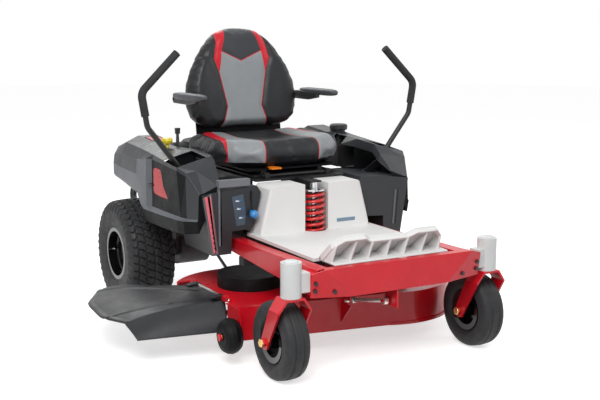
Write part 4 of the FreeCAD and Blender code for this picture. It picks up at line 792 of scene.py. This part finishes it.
def patch(quad, across, along, lift, roundness):
    # a plate over part of a four-cornered facet, squarer as roundness falls: each point is the weighted
    # mean of the corners, and it starts below the facet and ends the lift (in mm) above it
    a, b, c, e = (np.asarray(p, dtype=float) / 1000 for p in quad)
    t = np.linspace(0, 2 * np.pi, 64, endpoint=False)
    power = 2 / (2 + 8 * (1 - roundness))
    u = 0.5 + 0.5 * np.sign(np.cos(t)) * np.abs(np.cos(t)) ** power
    v = 0.5 + 0.5 * np.sign(np.sin(t)) * np.abs(np.sin(t)) ** power
    u = (across[0] + u * (across[1] - across[0]))[:, None]
    v = (along[0] + v * (along[1] - along[0]))[:, None]
    spot = a * (1 - u) * (1 - v) + b * u * (1 - v) + c * u * v + e * (1 - u) * v
    normal = np.cross(b - a, e - a)
    normal *= lift / 1000 / np.linalg.norm(normal)
    count = len(spot)
    k = np.arange(count)
    k2 = (k + 1) % count
    sides = np.stack([k, k2, count + k2, count + k], axis=1).tolist()
    return np.vstack([spot - normal * 0.4, spot + normal]), [list(k[::-1]), list(count + k)] + sides


# side distance and height of the cover at each station along the machine, from the skirt's foot over the
# shoulder to the lip
coverRows = {
    160: [(498, 556), (504, 570), (504, 588), (500, 606), (488, 616), (455, 621), (372, 621), (366, 600)],
    108: [(526, 545), (533, 556), (533, 602), (528, 640), (509, 672), (455, 686), (372, 686), (364, 650)],
    10: [(526, 532), (533, 545), (533, 594), (529, 655), (509, 700), (455, 725), (372, 725), (364, 690)],
    -160: [(526, 506), (533, 520), (533, 589), (529, 652), (509, 692), (455, 713), (372, 713), (364, 680)],
    -200: [(526, 440), (533, 470), (533, 560), (529, 654), (509, 689), (455, 709), (399, 709), (364, 675)],
    -236: [(526, 405), (533, 456), (533, 500), (529, 658), (509, 686), (455, 706), (399, 706), (364, 672)],
    -262: [(526, 405), (533, 456), (532, 474), (529, 664), (509, 684), (455, 704), (399, 706), (364, 672)],
    -292: [(526, 406), (533, 457), (518, 474), (516, 664), (509, 682), (455, 702), (399, 706), (364, 672)],
    -412: [(524, 407), (530, 458), (514, 472), (521, 660), (518, 674), (394, 705), (372, 708), (364, 672)],
    -548: [(514, 408), (521, 460), (505, 470), (519, 650), (517, 662), (394, 694), (372, 700), (364, 664)],
    -590: [(506, 410), (514, 462), (498, 470), (500, 632), (498, 644), (455, 650), (374, 664), (366, 630)],
    -650: [(474, 420), (482, 466), (478, 474), (474, 560), (470, 570), (455, 572), (392, 598), (386, 596)],
}
# from where to where, rear to front, each area of the cover runs
coverAreas = {"pod": (108, -160), "panel": (-292, -590), "slot": (-412, -548), "lever": (-200, -292),
              "strut": (-160, -292)}


def makeCover(name, side):
    # facets between the stations, coloured by area, with an opening for the drive lever; the pale facets of
    # the lower band and the strut are painted highlight, a lit copy of the dark hood colour
    stations = sorted(coverRows, reverse=True)
    points = np.array([[(side * x, y, z) for x, z in coverRows[y]] for y in stations]) / 1000
    rows, columns = points.shape[:2]
    faces, tones = [], []
    for k, face in enumerate(gridFaces(rows, columns)):
        i, j = divmod(k, columns - 1)
        y, y2 = stations[i], stations[i + 1]
        within = {area: low <= y2 and y <= high for area, (high, low) in coverAreas.items()}
        if within["slot"] and j == 4 or within["lever"] and j == 6:
            continue
        tone = 0
        # painted highlight: the lower band facets and the strut facets take paleHood, the lit copy of
        # darkHood
        if j == 1 and (within["pod"] or y2 < -160) or (within["strut"] and j in (1, 2)):
            tone = 2
        if j == 0 and y2 < -160 or within["panel"] and j == 2:
            tone = 1
        faces.append(face if side < 0 else face[::-1])
        tones.append(tone)
    rearCap = list(range(columns))
    frontCap = [(rows - 1) * columns + k for k in range(columns)]
    faces += [rearCap if side < 0 else rearCap[::-1], frontCap[::-1] if side < 0 else frontCap]
    tones += [0, 1]
    shell = addPiece(f"cover{name.title()}", points, faces,
                     [coats["darkHood"], coats["blackMoulding"], coats["paleHood"]], "platform", smooth=False,
                     standsFor=[f"fender_{name}"], slotName="shell_black")
    shell.data.polygons.foreach_set("material_index", np.array(tones, dtype=np.int32))
    wall = shell.modifiers.new("wall", "SOLIDIFY")
    wall.thickness = 0.0035
    wall.offset = -1
    bevelled(shell, 0.0028)


# steps of the dish, from the rim inwards: depth and radius
wheelDish = [(0.0, 0.1195), (0.004, 0.1185), (0.006, 0.1100), (0.014, 0.1060), (0.024, 0.1040),
             (0.028, 0.0975), (0.040, 0.0950), (0.044, 0.0880), (0.058, 0.0850), (0.062, 0.0780),
             (0.082, 0.0740), (0.086, 0.0400)]


def makeDishes():
    # stepped rings inside each wheel's outer face, and a valve stem
    for name, side in (("right", -1), ("left", 1)):
        low, high = corners(f"rear_rim_{name}")
        face = low[0] if side < 0 else high[0]
        centre = (face, (low[1] + high[1]) / 2, (low[2] + high[2]) / 2)
        profile = [(-side * a, r) for a, r in wheelDish]
        dish = addPiece(f"wheelDish{name.title()}", *lathe(profile, centre, "x", 128), coats["rimEnamel"],
                        f"wheel_{name}")
        repairNormals(dish)
        sharpen(dish, 30)
        stem = np.array([(face - side * 0.002, 0.0, 0.0), (face - side * 0.030, 0.0, 0.0)])
        stem[:, 1] = centre[1] + 0.093
        stem[:, 2] = centre[2]
        addPiece(f"valve{name.title()}", *carried(stem, 0.0035, 12), coats["forgedSteel"], f"wheel_{name}")


def makeBadges():
    panel = [(-518, -292, 474), (-498, -590, 470), (-500, -590, 632), (-516, -292, 664)]
    badge = addPiece("badge", *patch(panel, (0.10, 0.78), (0.30, 0.88), 8.0, 0.25), coats["badgeRed"],
                     "platform", smooth=False)
    repairNormals(badge)
    bevelled(badge, 0.0008)
    crown = [(-455, -160, 713), (-372, -160, 713), (-372, 10, 725), (-455, 10, 725)]
    for k, (low, high, finish) in enumerate(((0.08, 0.92, "blackMoulding"), (0.16, 0.84, "badgeRed"))):
        along = (low * 0.7 + 0.1, high * 0.7 + 0.1)
        label = addPiece(f"topLabel{k}", *patch(crown, (low, high), along, 1.0 + k * 0.6, 0.1), coats[finish],
                         "platform", smooth=False)
        repairNormals(label)


def makeBulkheads():
    # a dark wall inside each cover, behind the lever's opening
    outline = [(370, 480), (508, 480), (508, 662), (452, 692), (370, 696)]
    for name, side in (("Right", -1), ("Left", 1)):
        frontPlate(f"coverWall{name}", [(side * x, z) for x, z in outline], frontDepth["bulkhead"], 3,
                   "blackMoulding", bevel=0)


scaleSlot = {"top": 564, "foot": 342, "left": (-462, -428), "right": (-428, -407), "teeth": 11}


# where each small plate starts, front to back, so that it stands just proud of its face
frontDepth = {"rim": -668.5, "base": -669.7, "teeth": -670.6, "dial": -667, "mark": -667.8, "slot": -667.5,
              "shroud": -716.2, "bulkhead": -398}


def frontPlate(name, outline, near, deep, finish, body="platform", bevel=0.001):
    # an outline in x and height, standing upright across the machine, from depth near to near + deep
    turn = lambda p: np.column_stack([p[:, 0], near + p[:, 2], p[:, 1]]) / 1000
    piece = addPiece(name, *plate(outline, deep, turn), coats[finish], body, smooth=False)
    repairNormals(piece)
    if bevel:
        bevelled(piece, bevel)


def makeConsoleFaces():
    t = np.linspace(0, 1, scaleSlot["teeth"] * 2 + 1)
    height = scaleSlot["top"] + (scaleSlot["foot"] - scaleSlot["top"]) * t
    outer = scaleSlot["left"][0] + (scaleSlot["left"][1] - scaleSlot["left"][0]) * t
    inner = scaleSlot["right"][0] + (scaleSlot["right"][1] - scaleSlot["right"][0]) * t
    rim = [(outer[0] - 3, height[0] - 8), (inner[0] - 2, height[0] + 8), (inner[-1] + 4, height[-1] - 6),
           (outer[-1] - 1, height[-1] - 8)]
    frontPlate("scaleRim", rim, frontDepth["rim"], 4, "paleHood")
    base = [(outer[0] + 4, height[0] - 4), (inner[0] - 5, height[0]), (inner[-1] - 4, height[-1]),
            (outer[-1] + 4, height[-1])]
    frontPlate("scaleBase", base, frontDepth["base"], 3, "scalePink", bevel=0.0004)
    middle = (outer * 0.45 + inner * 0.55) + np.where(np.arange(len(t)) % 2 == 0, -4.5, 4.5)
    teeth = list(zip(middle, height)) + [(inner[-1] - 9, height[-1]), (inner[0] - 10, height[0])]
    frontPlate("scaleTeeth", teeth, frontDepth["teeth"], 3, "capBlack", bevel=0.0003)
    dial = [(-344, 552), (-296, 560), (-284, 486), (-290, 440), (-326, 438)]
    frontPlate("speedDial", dial, frontDepth["dial"], 3, "dialBlue")
    for k, (x, z) in enumerate(((-322, 536), (-317, 505), (-309, 470))):
        mark = [(x - 8, z - 3), (x - 2, z + 4), (x + 4, z - 1), (x + 8, z + 2), (x + 8, z - 4)]
        frontPlate(f"dialMark{k}", mark, frontDepth["mark"], 1.5, "signWhite", bevel=0.0002)
        dot = [(x + 12, z - 3), (x + 17, z - 3), (x + 17, z + 3), (x + 12, z + 3)]
        frontPlate(f"dialDot{k}", dot, frontDepth["mark"], 1.5, "ballBlue", bevel=0.0002)
    for k, shift in enumerate((0, 17)):
        slot = [(388 + shift, 380), (396 + shift, 380), (408 + shift, 520), (400 + shift, 524)]
        frontPlate(f"leftSlot{k}", slot, frontDepth["slot"], 3, "paleHood" if k == 0 else "capBlack")
    label = [(92, 424), (176, 424), (176, 438), (92, 438)]
    frontPlate("shroudLabel", label, frontDepth["shroud"], 1.5, "labelBlue", bevel=0.0003)


footplate = {"crest": [(-245, 412), (-231, 462), (-193, 490), (-108, 490), (-80, 474), (80, 474), (108, 490),
                       (193, 490), (231, 462), (245, 412)],
             "ribs": 7, "ribWidth": 9.0, "slant": 24.0, "lip": 14.0}


boxFaces = [[3, 2, 1, 0], [4, 5, 6, 7], [0, 1, 5, 4], [1, 2, 6, 5], [2, 3, 7, 6], [3, 0, 4, 7]]


def makeFootplate():
    # a sloping sheet with a lip along its stepped crest and slanted ribs under it
    climb = np.array([0, -0.682, 0.731])
    under = np.array([0, -0.731, -0.682])
    start = np.array([0, -1143.3, 400.0])

    def sunk(first):
        # across, up the slope, and in under it from the given depth
        return lambda p: (start + p[:, :1] * [1, 0, 0] + p[:, 1:2] * climb
                          + (p[:, 2:] + first) * under) / 1000

    crest = np.array([(x, (z - 400) / 0.731) for x, z in footplate["crest"]])
    sheetOutline = [(-245, 4), *map(tuple, crest), (245, 4)]
    parts = [plate(sheetOutline, 8, sunk(0))]
    inner = np.column_stack([crest[:, 0] * 0.962, crest[:, 1] - footplate["lip"]])
    parts.append(plate([*map(tuple, crest), *map(tuple, inner[::-1])], 18, sunk(7)))
    for k in range(footplate["ribs"]):
        x = -240 + k * (480 - footplate["slant"] - footplate["ribWidth"]) / (footplate["ribs"] - 1)
        high = 400 + 0.731 * (np.interp(x + footplate["slant"], crest[:, 0], crest[:, 1]) - 9)
        side = np.array([(-1152, 392), (-1222, 392), (-1190 - 0.6 * (high - 400), high - 12),
                         (-1143 - 0.93 * (high - 400), high)])
        lean = footplate["slant"] * (side[:, 1] - 392) / 98
        rib = np.stack([np.column_stack([x + lean + w, side]) for w in (0, footplate["ribWidth"])])
        parts.append((rib.reshape(-1, 3) / 1000, boxFaces))
    ledge = np.array([(x, y, z) for x in (-240, 240) for y, z in ((-1146, 391), (-1249, 391), (-1247, 397),
                                                                 (-1150, 402))]) / 1000
    parts.append((ledge, boxFaces))
    piece = addPiece("footplate", *merged(parts), coats["whiteMoulding"], "platform", smooth=False,
                     standsFor=["footrest"], slotName="shell_white")
    repairNormals(piece, merge=False)
    bevelled(piece, 0.003)


chute = {
    "inner": [(-600, -460, 192), (-474, -586, 205), (-450, -700, 207), (-449, -812, 199)],
    "outer": [(-758, -304, 165), (-850, -437, 153), (-861, -622, 147), (-812, -741, 150)],
    "foot": [(-474, -880, 98), (-795, -822, 97)],
    "ridges": [[(-775, -315), (-494, -663)], [(-856, -640), (-631, -729), (-480, -782)]],
    "strap": [(-500, 208), (-500, 212), (-464, 217), (-449, 217), (-448, 203), (-470, 203)],
    "columns": 90, "rows": 60, "skirt": 22, "smoothing": 14, "ridgeHeight": 4.5, "ridgeWidth": 6,
}


def nearSegment(x, y, a, b):
    # distance in plan from each point to a straight piece
    ab = np.subtract(b, a)
    t = np.clip(((x - a[0]) * ab[0] + (y - a[1]) * ab[1]) / (ab @ ab), 0, 1)
    return np.hypot(x - a[0] - t * ab[0], y - a[1] - t * ab[1])


def makeChute():
    # a ruled sheet from its hinge edge to its outer edge, arched, ridged, and folded down in front
    knots = np.linspace(0, 1, 4)
    s = np.linspace(0, 1, chute["columns"])
    inner, outer = (np.column_stack([np.interp(s, knots, np.array(chute[edge])[:, k]) for k in range(3)])
                    for edge in ("inner", "outer"))
    for _ in range(chute["smoothing"]):
        inner[1:-1] = (inner[:-2] + inner[2:]) / 2
        outer[1:-1] = (outer[:-2] + outer[2:]) / 2
    t = np.linspace(0, 1, chute["rows"])[None, :, None]
    sheet = inner[:, None] * (1 - t) + outer[:, None] * t
    sheet[..., 2] += 9 * np.sin(np.pi * t[..., 0]) - 10 * t[..., 0] ** 8
    foot = np.array(chute["foot"], dtype=float)
    q = np.linspace(0, 1, chute["skirt"])[1:, None, None]
    low = foot[0] * (1 - t[0]) + foot[1] * t[0]
    skirt = sheet[-1][None] * (1 - q) + low[None] * q
    skirt[..., 1] -= 10 * np.sin(np.pi * q[..., 0])
    sheet = np.vstack([sheet, skirt])
    for ridge in chute["ridges"]:
        for a, b in zip(ridge, ridge[1:]):
            away = nearSegment(sheet[..., 0], sheet[..., 1], a, b)
            lift = chute["ridgeHeight"] * np.exp(-(away / chute["ridgeWidth"]) ** 2)
            lift[chute["columns"]:] = 0
            sheet[..., 2] += lift * (1 - 0.4 * t[..., 0])
    sheet[:chute["columns"], -3:, 2] += 2.5
    sheet[..., 2] = np.clip(sheet[..., 2], 96.5, 216)
    faces = gridFaces(*sheet.shape[:2])[:, ::-1]
    piece = addPiece("chuteGuard", sheet / 1000, faces, coats["chuteRubber"], "chute",
                     standsFor=["deflector"], slotName="chute_rubber")
    wall = piece.modifiers.new("wall", "SOLIDIFY")
    wall.thickness = 0.0055
    wall.offset = 0
    sharpen(piece, 50)
    rod, faces = carried([(-0.455, -0.856, 0.210), (-0.455, -0.700, 0.210), (-0.455, -0.524, 0.210)], 0.005)
    addPiece("chuteRod", rod, faces, coats["brightZinc"], "chute")
    for k, y in enumerate((-815, -600)):
        frontPlate(f"chuteStrap{k}", chute["strap"], y, 30, "blackCoat", "chute")


armPadShape = {"rear": -44, "front": -353, "half": 27.5, "thick": 14.5, "height": 898.0}


def makeArmrest(name, side):
    # sections along the arm: a rounded square, narrowing and rising a little to the front, closed by domes
    low, high = corners(f"armrest_{name}")
    middle = (low[0] + high[0]) / 2
    t = np.linspace(0, 1, 40)
    y = (armPadShape["rear"] + t * (armPadShape["front"] - armPadShape["rear"])) / 1000
    dome = np.clip(1 - np.abs(2 * t - 1) ** 7, 0.0, 1) ** 0.5
    half = armPadShape["half"] / 1000 * dome * (0.80 + 0.20 * np.sin(np.pi * np.clip(t * 1.15, 0, 1)))
    thick = armPadShape["thick"] / 1000 * dome
    height = (armPadShape["height"] - 4 * (1 - t) + 2 * t) / 1000
    a = np.linspace(0, 2 * np.pi, 28, endpoint=False)
    squared = lambda v: np.sign(v) * np.abs(v) ** 0.62
    points = np.stack([middle + half[:, None] * squared(np.cos(a)), np.repeat(y[:, None], 28, axis=1),
                       height[:, None] + thick[:, None] * squared(np.sin(a))], axis=-1)
    pad, faces = closeEnds(points.reshape(-1, 3), gridFaces(40, 28, closeColumns=True), 28)
    cushion = addPiece(f"armPad{name.title()}", pad, faces, coats["armPad"], f"armrest_{name}",
                       standsFor=[f"armrest_{name}"], slotName="shell_grey")
    repairNormals(cushion)
    z = 893
    outline = [(-232, z - 2), (-232, z - 20), (-150, z - 34), (-20, z - 36), (6, z - 36), (18, z - 20),
               (8, z - 2), (-60, z + 2)]
    inner = high[0] - 0.016 if side < 0 else low[0]
    turn = lambda p: np.column_stack([inner + p[:, 2] / 1000, p[:, 0] / 1000, p[:, 1] / 1000])
    bracket = addPiece(f"armBracket{name.title()}", *plate(outline, 16, turn), coats["capBlack"],
                       f"armrest_{name}", smooth=False, standsFor=[f"armrest_{name}"], slotName="shell_grey")
    repairNormals(bracket)
    bevelled(bracket, 0.003)


def hexNut(name, centre, reach, deep, finish, body):
    # a six-sided nut whose outer end tapers in, across the machine
    turns = 6
    rings = [(0, reach), (0.82 * deep, reach), (deep, reach * 0.86)]
    points, faces = lathe([(a * np.sign(centre[0]), r) for a, r in rings], centre, "x", turns)
    points, faces = closeEnds(points, faces, turns)
    nut = addPiece(name, points, faces, coats[finish], body, smooth=False)
    repairNormals(nut)
    bevelled(nut, 0.0008)


def makeHardware():
    for name, side in (("Right", -1), ("Left", 1)):
        low, high = corners(f"caster_rim_{name.lower()}")
        axle = (low + high) / 2
        for kind, x, deep in (("axleNut", 0.486, 0.008), ("axleHead", 0.338, -0.008)):
            hexNut(f"{kind}{name}", (side * x, axle[1], axle[2]), 0.0155, deep, "brassZinc",
                   f"fork_{name.lower()}")
    low, high = corners("deck_roller")
    roller = (low + high) / 2
    hexNut("rollerNut", (low[0] + 0.004, roller[1], roller[2]), 0.011, 0.006, "brassZinc", "deck")
    low, high = corners("caster_heads")
    for name, side in (("Right", -1), ("Left", 1)):
        centre = (side * 0.412, (low[1] + high[1]) / 2, high[2] - 0.001)
        points, faces = lathe([(0, 0.026), (0.004, 0.026), (0.0065, 0.022), (0.0075, 0.001)], centre, "z", 48)
        cap = addPiece(f"headCap{name}", points, faces, coats["silverCasting"], "frame")
        repairNormals(cap)
        sharpen(cap)


for name, side in (("right", -1), ("left", 1)):
    makeCover(name, side)
    makeArmrest(name, side)
makeBadges()
makeBulkheads()
makeConsoleFaces()
makeFootplate()
makeChute()
makeHardware()
makeDishes()
print("covers, armrests, footplate, chute and hardware made")


spring = {"radius": 0.0374, "wire": 0.0062, "turns": 7.5, "steps": 26}


def makeSpring():
    # a helix whose two end turns lie flat against their seats
    low, high = corners("front_spring")
    centre = (low + high) / 2
    count = int(spring["turns"] * spring["steps"])
    t = np.linspace(0, 1, count)
    rise = np.interp(t, [0, 0.09, 0.91, 1], [0, 0.045, 0.955, 1])
    z = low[2] + spring["wire"] + rise * (high[2] - low[2] - 2 * spring["wire"])
    angle = t * spring["turns"] * 2 * np.pi
    path = np.stack([centre[0] + spring["radius"] * np.cos(angle),
                     centre[1] + spring["radius"] * np.sin(angle), z], axis=1)
    points, faces = carried(path, spring["wire"], 14)
    piece = addPiece("suspensionSpring", points, faces, coats["springCoat"], None, standsFor=["front_spring"],
                     slotName="spring_red")
    repairNormals(piece)
    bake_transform(piece)


makeSpring()
print("spring wound")
